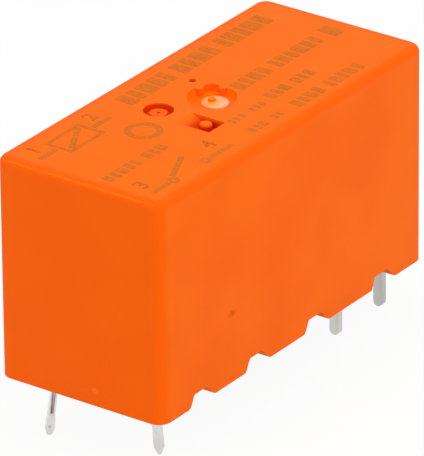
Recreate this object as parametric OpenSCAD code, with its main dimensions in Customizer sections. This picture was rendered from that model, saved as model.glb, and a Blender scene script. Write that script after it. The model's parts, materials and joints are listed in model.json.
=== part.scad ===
// Sealed single pole power relay for a printed circuit board, at rest with the contact open.
// X runs from the coil end to the contact end, Z up from the board. All sizes in mm.

/* [Cover] */
// Length over the cover
cover_length = 29; // [28.8:0.1:31]
// Width over the cover
cover_width = 12.7; // [12.4:0.1:14]
// Height of the cover's top above the board
overall_height = 15.7; // [15.4:0.1:17]
// Height of the cover's lower edge above the board
stand_off = 0.4; // [0.3:0.05:0.6]
// Thickness of the four side walls
side_wall = 0.9; // [0.7:0.05:0.95]
// Thickness of the top
top_wall = 1; // [0.9:0.05:1.1]
// Radius of the four upright edges
corner_radius = 0.9; // [0.6:0.05:1.1]
// Radius round the top face
top_edge_radius = 0.5; // [0.3:0.05:0.55]

/* [Vent notches in both long sides] */
// Centres of the notches, from the coil end
notch_centres = [4.4, 10.4, 16.9, 24.4]; // [3:0.1:26]
// Width of a notch
notch_width = 2.4; // [2:0.1:3.4]
// Height of a notch
notch_height = 0.87; // [0.7:0.01:1]
// Radius at the top of a notch
notch_radius = 0.5; // [0.3:0.05:0.6]
// Radius at the foot of a notch
notch_foot_radius = 0.3; // [0.2:0.05:0.4]

/* [Marks moulded in the top] */
// Place of the ring recess
ring_place = [-3.29, 1.83]; // [-5:0.01:5]
// Outer diameter of the ring recess
ring_diameter = 2; // [1.6:0.1:2.4]
// Diameter of the stud inside the ring recess
ring_stud_diameter = 1.2; // [1:0.1:1.4]
// Depth of the ring recess
ring_depth = 0.5; // [0.3:0.05:0.6]
// Place of the pin hole
pin_hole_place = [1.46, 2.61]; // [-5:0.01:5]
// Diameter of the pin hole
pin_hole_diameter = 0.5; // [0.3:0.05:0.6]
// Place of the vent dish
dish_place = [0.24, 0.23]; // [-1:0.01:4]
// Diameter of the vent dish
dish_diameter = 3.2; // [2.8:0.1:3.6]
// Depth of the vent dish
dish_depth = 0.5; // [0.4:0.05:0.6]
// Diameter of the pip that stands in the dish
pip_diameter = 0.5; // [0.4:0.05:0.8]
// Diameter of the resin drop round the pip
seal_diameter = 1.85; // [1.6:0.05:2]
// Height of the resin drop
seal_height = 0.18; // [0.12:0.02:0.24]
// Centre of the gate pocket
pocket_place = [-3.32, -1.42]; // [-4:0.01:-2.5]
// Size of the gate pocket along X and Y
pocket_size = [1.76, 2.6]; // [1.5:0.02:3]
// Depth of the gate pocket at its deep end
pocket_depth = 0.6; // [0.4:0.05:0.7]
// Diameter of the gate stub in the pocket
gate_diameter = 0.83; // [0.6:0.01:1]

/* [Pins] */
// Distance of the coil pins from the coil end
coil_pin_inset = 2.7; // [2.4:0.1:2.8]
// Distance between the two pin rows
row_pitch = 7.5; // [7.4:0.1:7.8]
// Distance from the coil pins to the spring pin
spring_pin_pitch = 20; // [19.8:0.1:20.4]
// Distance from the spring pin to the fixed pin
fixed_pin_pitch = 5; // [4.9:0.1:5.2]
// Length of the pins below the board seat
pin_length = 3.3; // [2.5:0.1:4]
// Side of a coil pin
coil_pin_side = 0.5; // [0.4:0.05:0.55]
// Width of a contact pin
contact_pin_width = 0.7; // [0.6:0.05:0.9]
// Thickness of the contact terminals
terminal_thickness = 0.5; // [0.4:0.05:0.55]
// Lean of the left coil pin towards the coil end
left_pin_lean = 16; // [0:1:20]
// Lean of the left coil pin towards the other coil pin
left_pin_inward = 3; // [0:1:8]
// Length of the left coil pin beyond the other pins
left_pin_extra = 0.5; // [0:0.05:0.6]
// Lean of the right coil pin towards its own side
right_pin_lean = 5; // [0:1:12]

/* [Base and resin] */
// Thickness of the base plate
base_thickness = 1.2; // [1:0.05:1.4]
// Depth of the resin under the base
resin_depth = 0.3; // [0.2:0.05:0.4]
// Thickness of the wall between coil and contacts
barrier_thickness = 0.9; // [0.7:0.05:1]
// Diameter of the feet on the board
foot_diameter = 1.6; // [1.2:0.1:1.8]

/* [Coil and iron] */
// Thickness of the yoke
yoke_thickness = 1.2; // [1.1:0.05:1.3]
// Diameter of the core
core_diameter = 4; // [3.6:0.1:4.2]
// Diameter of the pole at the free end of the core
pole_diameter = 6.2; // [5.6:0.1:6.4]
// Thickness of the bobbin's tube and rear flange
bobbin_wall = 0.6; // [0.5:0.05:0.7]
// Thickness of the armature
armature_thickness = 1.2; // [1:0.05:1.25]
// Width of the armature
armature_width = 5.6; // [5:0.1:5.7]
// Diameter of the coil's lead wires, twisted
lead_diameter = 0.3; // [0.24:0.02:0.32]

/* [Contacts] */
// Open gap between the contacts
contact_gap = 0.55; // [0.4:0.05:0.6]
// Diameter of the contact heads
contact_diameter = 3.4; // [3:0.1:3.6]
// Thickness of the contact heads
contact_head = 0.7; // [0.6:0.05:0.75]
// Width of the contact spring
spring_width = 5.5; // [5:0.1:5.7]
// Thickness of the contact spring
spring_thickness = 0.25; // [0.2:0.01:0.28]
// Thickness of the actuator card
card_thickness = 1; // [0.9:0.05:1.1]
// Width of the actuator card
card_width = 4.8; // [4.4:0.1:5]

/* [Hidden] */
$fn = 48;

// Clearances between pieces, and how far a cut runs past its piece
fit = 0.03;
slide = 0.05;
loose = 0.1;
cut = 1;

// Levels above the board
notch_cover = 0.08;
head_share = 4 / 157;
head_room = head_share * overall_height;
inner_top = overall_height - top_wall;
resin_bottom = stand_off + notch_height + notch_cover;
base_bottom = resin_bottom + resin_depth;
base_top = base_bottom + base_thickness;
yoke_top = base_top + yoke_thickness;
card_top = inner_top - head_room;
card_bottom = card_top - card_thickness;
flange_top = card_bottom - slide;
flange_height = flange_top - yoke_top;
coil_axis = (flange_top + yoke_top) / 2;
hinge_height = base_top + loose + armature_thickness / 2;

// Places along X
pole_setback = 0.8;
pole_thickness = 1;
pole_stand = 0.2;
front_flange_thickness = 1.6;
barrier_setback = 3.8;
yoke_gap = 0.8;
coil_end = -cover_length / 2;
inner_end = coil_end + side_wall;
coil_pin_x = coil_end + coil_pin_inset;
spring_pin_x = coil_pin_x + spring_pin_pitch;
fixed_pin_x = spring_pin_x + fixed_pin_pitch;
pole_x = coil_pin_x + pole_setback;
front_flange_x = pole_x + pole_stand;
winding_start = front_flange_x + front_flange_thickness;
barrier_x = spring_pin_x - barrier_setback;
yoke_leg_x = barrier_x - yoke_gap - yoke_thickness;
winding_end = yoke_leg_x - bobbin_wall;
notch_x = [for (place = notch_centres) coil_end + place];

// Widths across Y
flange_room = 0.85;
yoke_room = 1.45;
block_gap = 0.3;
nose_margin = 0.1;
inner_length = cover_length - 2 * side_wall;
inner_width = cover_width - 2 * side_wall;
flange_width = inner_width - 2 * flange_room;
pin_y = row_pitch / 2;
pin_block_inner = armature_width / 2 + block_gap;
yoke_width = inner_width - 2 * yoke_room;
yoke_nose_width = armature_width + 2 * nose_margin;

// Winding, tube and lead wires
step_share = 7 / 184;
lead_sink = 0.19;
lead_gap = 0.15;
shank_step = 1;
winding_step = step_share * flange_height;
winding_radius = flange_height / 2 - winding_step;
core_shank = core_diameter - shank_step;
tube_diameter = core_diameter + 2 * fit + 2 * bobbin_wall;
lead_y = pin_y - coil_pin_side / 2 - lead_gap - lead_diameter / 2;
lead_drop = sqrt(pow(winding_radius - lead_sink, 2) - pow(lead_y, 2));
lead_z = coil_axis - lead_drop;

// Contact spring, worked out closed and then swung open about its flexing point
pad_height = 2.55;
flex_rise = 0.6;
blade_offset = 2;
push_drop = 0.4;
contact_drop = 2.3;
bend_drop = 2;
blade_over = 0.5;
closed_gap = 0.03;
flex_x = spring_pin_x + terminal_thickness / 2 + spring_thickness / 2;
pad_top = base_top + pad_height;
flex_z = pad_top + flex_rise;
push_z = card_bottom - push_drop;
contact_z = push_z - contact_drop;
blade_bend_z = contact_z - bend_drop;
blade_top = push_z + blade_over;
blade_x = flex_x + blade_offset;
blade_angle = asin(contact_gap / (contact_z - flex_z));
card_travel = (push_z - flex_z) * sin(blade_angle);
fixed_face_x = blade_x + spring_thickness / 2 + contact_head + closed_gap;
fixed_plate_x = fixed_face_x + contact_head;

// Armature, worked out closed against the pole and then swung open about its round foot
nose_radius = 0.35;
armature_face_x = pole_x - slide;
hinge_x = armature_face_x - armature_thickness / 2;
armature_angle = atan(card_travel / (card_bottom - hinge_height));
armature_top = card_top - loose;
card_end_x = pole_x - card_travel;
nose_x = blade_x - spring_thickness / 2 - nose_radius - slide - card_travel;

// Terminals, rivets and feet
terminal_sink = 0.6;
terminal_left = 2.9;
terminal_right = -4.4;
rivet_diameter = 1;
rivet_spacing = 3;
rivet_rise = 1.45;
rivet_z = base_top + rivet_rise;
contact_shank = 1.6;
contact_tail = 2.4;
foot_inset = 0.95;
foot_x = [(notch_x[0] + notch_x[1]) / 2, (notch_x[2] + notch_x[3]) / 2];
foot_y = inner_width / 2 - foot_inset;

// Profile drawn across Y and Z, run along X
module along_x(start, length) {
    translate([start, 0, 0])
        rotate([90, 0, 90])
            linear_extrude(length)
                children();
}

// Profile drawn across X and Z, run along Y about the middle
module along_y(length) {
    translate([0, length / 2, 0])
        rotate([90, 0, 0])
            linear_extrude(length)
                children();
}

// Rectangle with four rounded corners, centred
module rounded_plate(length, width, radius) {
    square([length - 2 * radius, width], center = true);
    square([length, width - 2 * radius], center = true);
    for (sx = [-1, 1], sy = [-1, 1])
        translate([sx * (length / 2 - radius), sy * (width / 2 - radius)])
            circle(radius);
}

// Upright profile with its two top corners rounded
module soft_profile(width, height, edge) {
    translate([-width / 2, 0])
        square([width, height - edge]);
    translate([-width / 2 + edge, 0])
        square([width - 2 * edge, height]);
    for (s = [-1, 1])
        translate([s * (width / 2 - edge), height - edge])
            circle(edge);
}

// Block with rounded upright edges and a rounded rim round its top
module soft_block(length, width, height, radius, edge) {
    along_x(-length / 2 + radius, length - 2 * radius)
        soft_profile(width, height, edge);
    along_y(width - 2 * radius)
        soft_profile(length, height, edge);
    for (sx = [-1, 1], sy = [-1, 1])
        translate([sx * (length / 2 - radius), sy * (width / 2 - radius), 0])
            rotate_extrude()
                intersection() {
                    soft_profile(2 * radius, height, edge);
                    square([radius, height]);
                }
}

// Opening of one notch, standing on the cover's lower edge
module notch_profile() {
    translate([-notch_width / 2, -cut])
        square([notch_width, notch_height - notch_radius + cut]);
    translate([-notch_width / 2 + notch_radius, -cut])
        square([notch_width - 2 * notch_radius, notch_height + cut]);
    for (s = [-1, 1])
        translate([s * (notch_width / 2 - notch_radius), notch_height - notch_radius])
            circle(notch_radius);
    difference() {
        translate([-notch_width / 2 - notch_foot_radius, -cut])
            square([notch_width + 2 * notch_foot_radius, notch_foot_radius + cut]);
        for (s = [-1, 1])
            translate([s * (notch_width / 2 + notch_foot_radius), notch_foot_radius])
                circle(notch_foot_radius);
    }
}

// Ring recess with a stud left standing and a dot in the stud
module ring_recess() {
    stud_drop = 0.2;
    dot_diameter = 0.25;
    translate([ring_place[0], ring_place[1], overall_height]) {
        difference() {
            translate([0, 0, -ring_depth])
                cylinder(d = ring_diameter, h = ring_depth + cut);
            translate([0, 0, -ring_depth])
                cylinder(d = ring_stud_diameter, h = ring_depth - stud_drop);
        }
        translate([0, 0, -ring_depth])
            cylinder(d = dot_diameter, h = ring_depth);
    }
}

// Round dish with a pip left standing in it
module vent_dish() {
    pip_drop = 0.12;
    rim_widening = 0.3;
    translate([dish_place[0], dish_place[1], overall_height])
        difference() {
            union() {
                translate([0, 0, -dish_depth])
                    cylinder(d1 = dish_diameter - rim_widening, d2 = dish_diameter, h = dish_depth);
                cylinder(d = dish_diameter, h = cut);
            }
            translate([0, 0, -dish_depth - cut])
                cylinder(d = pip_diameter, h = dish_depth + cut - pip_drop);
        }
}

// Pocket with a sloping floor and the gate stub left standing in it
module gate_pocket() {
    shallow = 0.02;
    flat_floor = 0.9;
    stub_drop = 0.2;
    stub_shift = [0.3, -0.22];
    half = pocket_size[1] / 2;
    translate([pocket_place[0], pocket_place[1], overall_height])
        difference() {
            along_x(-pocket_size[0] / 2, pocket_size[0])
                polygon([[-half, cut],
                    [-half, -pocket_depth],
                    [-half + flat_floor, -pocket_depth],
                    [half, -shallow],
                    [half, cut]]);
            translate([stub_shift[0], stub_shift[1], -pocket_depth - cut])
                cylinder(d = gate_diameter, h = pocket_depth + cut - stub_drop);
        }
}

// Small pit left in the near long side by the moulding
module side_pit() {
    pit_radius = 0.25;
    pit_from_end = 7.53;
    pit_z = 5.2;
    pit_depth = 0.12;
    translate([coil_end + pit_from_end, -cover_width / 2 - pit_radius + pit_depth, pit_z])
        sphere(pit_radius);
}

module cover() {
    inner_radius = 0.4;
    bump_radius = 0.4;
    bump_rise = 0.06;
    bump_y = -1.2;
    bump_z = 1.05;
    color([0.98, 0.42, 0.08])
        difference() {
            union() {
                translate([0, 0, stand_off])
                    soft_block(cover_length, cover_width, overall_height - stand_off,
                        corner_radius, top_edge_radius);
                translate([coil_end + bump_radius - bump_rise, bump_y, stand_off + bump_z])
                    sphere(bump_radius);
            }
            translate([0, 0, stand_off - cut])
                linear_extrude(inner_top - stand_off + cut)
                    rounded_plate(inner_length, inner_width, inner_radius);
            for (place = notch_x)
                translate([place, 0, stand_off])
                    along_y(cover_width + 2 * cut)
                        notch_profile();
            ring_recess();
            translate([pin_hole_place[0], pin_hole_place[1], overall_height - ring_depth])
                cylinder(d = pin_hole_diameter, h = ring_depth + cut);
            vent_dish();
            gate_pocket();
            side_pit();
        }
}

// Drop of resin that closes the vent, lying round the pip
module vent_seal() {
    drift = [0.15, -0.17];
    rim_height = 0.08;
    top_diameter = 1.2;
    floor_z = overall_height - dish_depth;
    color([1, 0.86, 0.68])
        difference() {
            translate([dish_place[0] + drift[0], dish_place[1] + drift[1], floor_z]) {
                cylinder(d = seal_diameter, h = rim_height);
                translate([0, 0, rim_height])
                    cylinder(d1 = seal_diameter, d2 = top_diameter, h = seal_height - rim_height);
            }
            translate([dish_place[0], dish_place[1], floor_z - cut])
                cylinder(d = pip_diameter, h = dish_depth + cut);
        }
}

// Through holes for the four pins, as wide as the pins plus a gap on each side
module pin_holes(gap) {
    coil_side = coil_pin_side + 2 * gap;
    contact_width = contact_pin_width + 2 * gap;
    contact_depth = terminal_thickness + 2 * gap;
    hole_start = resin_bottom - cut;
    hole_height = base_top - resin_bottom + 2 * cut;
    for (s = [-1, 1])
        translate([coil_pin_x - coil_side / 2, s * pin_y - coil_side / 2, hole_start])
            cube([coil_side, coil_side, hole_height]);
    for (x = [spring_pin_x, fixed_pin_x])
        translate([x - contact_depth / 2, -pin_y - contact_width / 2, hole_start])
            cube([contact_depth, contact_width, hole_height]);
}

// Grooves in which the two contact terminals stand
module terminal_grooves() {
    groove_length = terminal_left - terminal_right + 2 * fit;
    groove_width = terminal_thickness + 2 * fit;
    for (x = [spring_pin_x, fixed_pin_x])
        translate([x - groove_width / 2, terminal_right - fit, base_top - terminal_sink - fit])
            cube([groove_width, groove_length, terminal_sink + cut]);
}

// Four posts that stand on the board
module feet(height) {
    for (x = foot_x, s = [-1, 1])
        translate([x, s * foot_y, 0])
            cylinder(d = foot_diameter, h = height);
}

// Outline of what fills the cover's mouth
module mouth_plate() {
    plate_radius = 0.4;
    rounded_plate(inner_length - 2 * fit, inner_width - 2 * fit, plate_radius);
}

// Walls round the contacts: one across, and one low wall along each side
module contact_walls() {
    side_thickness = 0.7;
    side_height = 4;
    end_gap = 0.6;
    side_end = fixed_pin_x - end_gap;
    barrier_drop = 0.3;
    barrier_width = inner_width - 2 * fit;
    translate([barrier_x, -barrier_width / 2, base_top])
        cube([barrier_thickness, barrier_width, card_bottom - barrier_drop - base_top]);
    for (s = [-1, 1])
        translate([barrier_x, s * (barrier_width - side_thickness) / 2 - side_thickness / 2, base_top])
            cube([side_end - barrier_x, side_thickness, side_height]);
}

// Stop behind the armature's foot, and rails beside the yoke
module iron_seats() {
    stop_height = 1.4;
    stop_thickness = 0.55;
    stop_margin = 0.2;
    rail_height = 0.6;
    rail_width = 0.6;
    translate([inner_end + loose, -armature_width / 2 + stop_margin, base_top])
        cube([stop_thickness, armature_width - 2 * stop_margin, stop_height]);
    for (s = [-1, 1])
        translate([winding_start, s * (yoke_width / 2 + fit + rail_width / 2) - rail_width / 2, base_top])
            cube([yoke_leg_x - winding_start, rail_width, rail_height]);
}

module base() {
    color([0.12, 0.12, 0.13])
        difference() {
            union() {
                translate([0, 0, base_bottom])
                    linear_extrude(base_thickness)
                        mouth_plate();
                feet(base_bottom);
                contact_walls();
                iron_seats();
            }
            pin_holes(fit);
            terminal_grooves();
        }
}

module sealing_resin() {
    color([0.08, 0.07, 0.07])
        difference() {
            translate([0, 0, resin_bottom])
                linear_extrude(resin_depth)
                    mouth_plate();
            pin_holes(0);
            feet(base_top);
        }
}

// Flange outline across Y and Z
module flange_profile() {
    flange_radius = 0.6;
    translate([0, coil_axis])
        rounded_plate(flange_width, flange_height, flange_radius);
}

// Upstands on a flange between which the card slides
module card_guides(start) {
    guide_height = 0.7;
    guide_thickness = 0.6;
    guide_root = 0.3;
    guide_y = card_width / 2 + loose + guide_thickness / 2;
    for (s = [-1, 1])
        translate([start, s * guide_y - guide_thickness / 2, flange_top - guide_root])
            cube([bobbin_wall, guide_thickness, guide_root + guide_height]);
}

// Blocks under the front flange that hold the coil pins
module pin_blocks() {
    block_side = 0.85;
    block_height = 2.35;
    block_reach = 0.9;
    block_outer = pin_y + block_side;
    hole_side = coil_pin_side + 2 * fit;
    start = coil_pin_x - block_reach;
    for (s = [-1, 1])
        difference() {
            translate([start, min(s * pin_block_inner, s * block_outer), base_top])
                cube([winding_start - start, block_outer - pin_block_inner, block_height]);
            translate([coil_pin_x, s * pin_y, base_top])
                cube([hole_side, hole_side, 2 * block_height + cut], center = true);
        }
}

module bobbin() {
    color([0.9, 0.88, 0.8])
        difference() {
            union() {
                along_x(front_flange_x, front_flange_thickness)
                    flange_profile();
                along_x(winding_end, bobbin_wall)
                    flange_profile();
                translate([winding_start, 0, coil_axis])
                    rotate([0, 90, 0])
                        cylinder(d = tube_diameter, h = winding_end - winding_start);
                card_guides(front_flange_x);
                card_guides(winding_end);
                pin_blocks();
            }
            translate([front_flange_x - cut, 0, coil_axis])
                rotate([0, 90, 0])
                    cylinder(d = core_diameter + 2 * fit, h = yoke_leg_x - front_flange_x + 2 * cut);
            translate([front_flange_x - cut, 0, coil_axis])
                rotate([0, 90, 0])
                    cylinder(d = pole_diameter + 2 * fit, h = pole_thickness - pole_stand + cut);
            for (s = [-1, 1])
                translate([front_flange_x - cut, s * lead_y, lead_z])
                    rotate([0, 90, 0])
                        cylinder(d = lead_diameter + 2 * slide, h = front_flange_thickness + 2 * cut);
        }
}

module winding() {
    color([0.72, 0.36, 0.16])
        translate([winding_start, 0, coil_axis])
            rotate([0, 90, 0])
                difference() {
                    cylinder(r = winding_radius, h = winding_end - winding_start);
                    translate([0, 0, -cut])
                        cylinder(d = tube_diameter, h = winding_end - winding_start + 2 * cut);
                }
}

module core() {
    rivet_head = 0.3;
    rivet_lap = 0.4;
    color([0.66, 0.66, 0.65])
        translate([0, 0, coil_axis])
            rotate([0, 90, 0]) {
                translate([0, 0, pole_x])
                    cylinder(d = pole_diameter, h = pole_thickness);
                translate([0, 0, pole_x])
                    cylinder(d = core_diameter, h = yoke_leg_x - pole_x);
                translate([0, 0, yoke_leg_x - cut])
                    cylinder(d = core_shank, h = yoke_thickness + cut);
                translate([0, 0, yoke_leg_x + yoke_thickness])
                    cylinder(d = core_shank + 2 * rivet_lap, h = rivet_head);
            }
}

// Bent strip of the yoke across X and Z, rounded outside its bend
module yoke_profile() {
    leg_drop = 1;
    bend_radius = 1.1;
    leg_end = yoke_leg_x + yoke_thickness;
    leg_top = flange_top - leg_drop;
    translate([pole_x, base_top])
        square([leg_end - bend_radius - pole_x, yoke_thickness]);
    translate([yoke_leg_x, base_top + bend_radius])
        square([yoke_thickness, leg_top - base_top - bend_radius]);
    intersection() {
        translate([leg_end - bend_radius, base_top + bend_radius])
            circle(bend_radius);
        translate([leg_end - bend_radius, base_top])
            square(bend_radius);
    }
    translate([yoke_leg_x, base_top + yoke_thickness / 2])
        square([yoke_thickness / 4, yoke_thickness / 2]);
}

module yoke() {
    nose_length = winding_start - pole_x + loose;
    side_cut = (yoke_width - yoke_nose_width) / 2 + cut;
    color([0.6, 0.61, 0.62])
        difference() {
            along_y(yoke_width)
                yoke_profile();
            for (s = [-1, 1])
                translate([pole_x - cut, s * (yoke_nose_width + side_cut) / 2 - side_cut / 2, base_top - cut])
                    cube([nose_length + cut, side_cut, yoke_thickness + 2 * cut]);
            translate([yoke_leg_x - cut, 0, coil_axis])
                rotate([0, 90, 0])
                    cylinder(d = core_shank, h = yoke_thickness + 2 * cut);
        }
}

// Straight wire from the winding to the pin, with the turns wrapped round the pin
module coil_lead(side) {
    wrap_diameter = 0.95;
    wrap_height = 0.8;
    color([0.75, 0.4, 0.2])
        difference() {
            union() {
                translate([coil_pin_x, side * lead_y, lead_z])
                    rotate([0, 90, 0])
                        cylinder(d = lead_diameter, h = winding_start - coil_pin_x);
                translate([coil_pin_x, side * pin_y, lead_z - wrap_height / 2])
                    cylinder(d = wrap_diameter, h = wrap_height);
            }
            translate([coil_pin_x, side * pin_y, lead_z])
                cube([coil_pin_side, coil_pin_side, 2 * wrap_height], center = true);
        }
}

module coil_lead_left() {
    coil_lead(1);
}

module coil_lead_right() {
    coil_lead(-1);
}

// Side view of a square pin from its lean point down to a pointed tip
module pointed_profile(length) {
    point = 0.55;
    half = coil_pin_side / 2;
    tip_half = 0.08;
    polygon([[-half, 0], [half, 0], [half, -length + point], [tip_half, -length],
        [-tip_half, -length], [-half, -length + point]]);
}

// Square pin, upright in the bobbin and leaning below the resin by two angles
module coil_pin(side, lean_x, lean_y, extra) {
    bend_below_resin = 0.1;
    top_over_lead = 0.7;
    lean_z = resin_bottom - bend_below_resin;
    length = pin_length + extra + lean_z;
    pin_top = lead_z + top_over_lead;
    color([0.82, 0.82, 0.8]) {
        translate([coil_pin_x - coil_pin_side / 2, side * pin_y - coil_pin_side / 2, lean_z])
            cube([coil_pin_side, coil_pin_side, pin_top - lean_z]);
        translate([coil_pin_x, side * pin_y, lean_z])
            rotate([lean_y, lean_x, 0])
                intersection() {
                    along_y(coil_pin_side)
                        pointed_profile(length);
                    along_x(-coil_pin_side / 2, coil_pin_side)
                        pointed_profile(length);
                }
    }
}

module coil_pin_left() {
    coil_pin(1, left_pin_lean, -left_pin_inward, left_pin_extra);
}

module coil_pin_right() {
    coil_pin(-1, 0, -right_pin_lean, 0);
}

// Bowed leaf that presses the armature's round foot on the yoke
module hinge_spring() {
    leaf = 0.15;
    bow = 1.1;
    half_chord = 0.62;
    side_margin = 0.6;
    press_x = hinge_x - armature_thickness / 2 - slide;
    width = armature_width - 2 * side_margin;
    color([0.78, 0.68, 0.42])
        intersection() {
            along_y(width)
                translate([press_x - bow, hinge_height])
                    difference() {
                        circle(bow);
                        circle(bow - leaf);
                    }
            translate([press_x, 0, hinge_height])
                cube([bow, width + cut, 2 * half_chord], center = true);
        }
}

// Wide plate and round ended pin of a contact terminal, across Y and Z
module terminal_profile(top) {
    radius = contact_pin_width / 2;
    translate([-pin_y - radius, -pin_length + radius])
        square([contact_pin_width, base_top - terminal_sink + pin_length - radius + fit]);
    translate([-pin_y, -pin_length + radius])
        circle(radius);
    translate([terminal_right, base_top - terminal_sink])
        square([terminal_left - terminal_right, top - base_top + terminal_sink]);
}

// Holes for the two rivets of the contact spring
module rivet_holes(diameter) {
    for (s = [-1, 1])
        translate([spring_pin_x - cut, s * rivet_spacing / 2, rivet_z])
            rotate([0, 90, 0])
                cylinder(d = diameter, h = 3 * cut);
}

module spring_terminal() {
    color([0.83, 0.82, 0.79])
        difference() {
            along_x(spring_pin_x - terminal_thickness / 2, terminal_thickness)
                terminal_profile(pad_top);
            rivet_holes(rivet_diameter);
        }
}

module spring_rivets() {
    head = 0.35;
    head_diameter = 1.7;
    grip = terminal_thickness + spring_thickness + 2 * fit;
    color([0.75, 0.6, 0.35])
        for (s = [-1, 1])
            translate([spring_pin_x - terminal_thickness / 2, s * rivet_spacing / 2, rivet_z])
                rotate([0, 90, 0]) {
                    translate([0, 0, -head])
                        cylinder(d = head_diameter, h = head);
                    cylinder(d = rivet_diameter, h = grip);
                    translate([0, 0, grip])
                        cylinder(d = head_diameter, h = head);
                }
}

module fixed_terminal() {
    step_rise = 0.6;
    top_over_contact = 2.2;
    step_z = base_top + step_rise;
    top = contact_z + top_over_contact;
    width = terminal_left - terminal_right;
    color([0.83, 0.82, 0.79])
        difference() {
            union() {
                along_x(fixed_pin_x - terminal_thickness / 2, terminal_thickness)
                    terminal_profile(step_z + terminal_thickness);
                translate([fixed_plate_x, terminal_right, step_z])
                    cube([fixed_pin_x + terminal_thickness / 2 - fixed_plate_x, width, terminal_thickness]);
                translate([fixed_plate_x, terminal_right, step_z])
                    cube([terminal_thickness, width, top - step_z]);
            }
            translate([fixed_plate_x - cut, 0, contact_z])
                rotate([0, 90, 0])
                    cylinder(d = contact_shank, h = 3 * cut);
        }
}

// Contact rivet along Z, its head from 0 up and its shank below
module contact_rivet(plate) {
    crown = 0.12;
    tail = 0.25;
    cylinder(d = contact_diameter, h = contact_head - crown);
    translate([0, 0, contact_head - crown])
        cylinder(d1 = contact_diameter, d2 = contact_diameter - 4 * crown, h = crown);
    translate([0, 0, -plate])
        cylinder(d = contact_shank, h = plate);
    translate([0, 0, -plate - tail])
        cylinder(d = contact_tail, h = tail);
}

module fixed_contact() {
    color([0.86, 0.86, 0.83])
        translate([fixed_plate_x, 0, contact_z])
            rotate([0, -90, 0])
                contact_rivet(terminal_thickness);
}

// Armature as it stands closed, with a round foot and a narrow tongue at the top
module closed_armature() {
    tongue_width = 2.4;
    shoulder_drop = 0.3;
    shoulder = flange_top - shoulder_drop;
    along_y(armature_width)
        translate([hinge_x, hinge_height])
            circle(armature_thickness / 2);
    translate([hinge_x - armature_thickness / 2, -armature_width / 2, hinge_height])
        cube([armature_thickness, armature_width, shoulder - hinge_height]);
    translate([hinge_x - armature_thickness / 2, -tongue_width / 2, hinge_height])
        cube([armature_thickness, tongue_width, armature_top - hinge_height]);
}

module armature() {
    color([0.62, 0.63, 0.64])
        translate([hinge_x, 0, hinge_height])
            rotate([0, -armature_angle, 0])
                translate([-hinge_x, 0, -hinge_height])
                    closed_armature();
}

// Sliding card, forked round the armature's tongue and rounded where it pushes the spring
module actuator_card() {
    fork_length = 1.1;
    fork_width = 1;
    window_length = 7;
    window_width = 2.6;
    nose_lap = 0.1;
    fork_y = (card_width - fork_width) / 2;
    plate_end = nose_x + nose_lap;
    color([0.93, 0.91, 0.85]) {
        difference() {
            translate([card_end_x, -card_width / 2, card_bottom])
                cube([plate_end - card_end_x, card_width, card_thickness]);
            translate([winding_start + cut, -window_width / 2, card_bottom - cut])
                cube([window_length, window_width, card_thickness + 2 * cut]);
        }
        for (s = [-1, 1])
            translate([card_end_x - fork_length, s * fork_y - fork_width / 2, card_bottom])
                cube([fork_length + cut, fork_width, card_thickness]);
        translate([nose_x - nose_radius, -card_width / 2, push_z])
            cube([nose_radius + nose_lap, card_width, card_bottom - push_z + cut / 2]);
        along_y(card_width)
            translate([nose_x, push_z])
                circle(nose_radius);
    }
}

// A point of the closed contact spring, swung open about the flexing point
function opened(x, z) =
    [flex_x + (x - flex_x) * cos(blade_angle) - (z - flex_z) * sin(blade_angle),
     flex_z + (x - flex_x) * sin(blade_angle) + (z - flex_z) * cos(blade_angle)];

module contact_spring() {
    half = spring_thickness / 2;
    foot_rise = 0.25;
    foot = base_top + foot_rise;
    slot_width = 1.8;
    slot_margin = 0.45;
    slot_bottom = flex_z + slot_margin;
    slot_top = blade_bend_z - slot_margin;
    slope = atan(blade_offset / (blade_bend_z - flex_z));
    mitre = half * tan(slope / 2);
    color([0.82, 0.55, 0.3])
        difference() {
            along_y(spring_width)
                polygon([[flex_x - half + fit, foot],
                    [flex_x + half + fit, foot],
                    [flex_x + half + fit, flex_z - mitre],
                    opened(blade_x + half, blade_bend_z - mitre),
                    opened(blade_x + half, blade_top),
                    opened(blade_x - half, blade_top),
                    opened(blade_x - half, blade_bend_z + mitre),
                    [flex_x - half + fit, flex_z + mitre]]);
            rivet_holes(rivet_diameter + 2 * slide);
            translate([flex_x - cut, -slot_width / 2, slot_bottom])
                cube([blade_offset + 2 * cut, slot_width, slot_top - slot_bottom]);
            moving_contact_place()
                translate([0, 0, -cut])
                    cylinder(d = contact_shank, h = 2 * cut);
        }
}

// Place of the moving contact on the spring's inner face, with Z along its own axis
module moving_contact_place() {
    place = opened(blade_x + spring_thickness / 2, contact_z);
    translate([place[0], 0, place[1]])
        rotate([0, 90 - blade_angle, 0])
            children();
}

module moving_contact() {
    color([0.86, 0.86, 0.83])
        moving_contact_place()
            contact_rivet(spring_thickness);
}

cover();
vent_seal();
base();
sealing_resin();
bobbin();
winding();
core();
yoke();
coil_lead_left();
coil_lead_right();
coil_pin_left();
coil_pin_right();
hinge_spring();
spring_terminal();
spring_rivets();
fixed_terminal();
fixed_contact();
armature();
actuator_card();
contact_spring();
moving_contact();
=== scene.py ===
import json
import math
import bmesh
import bpy
from mathutils import Matrix, Quaternion, Vector


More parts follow.
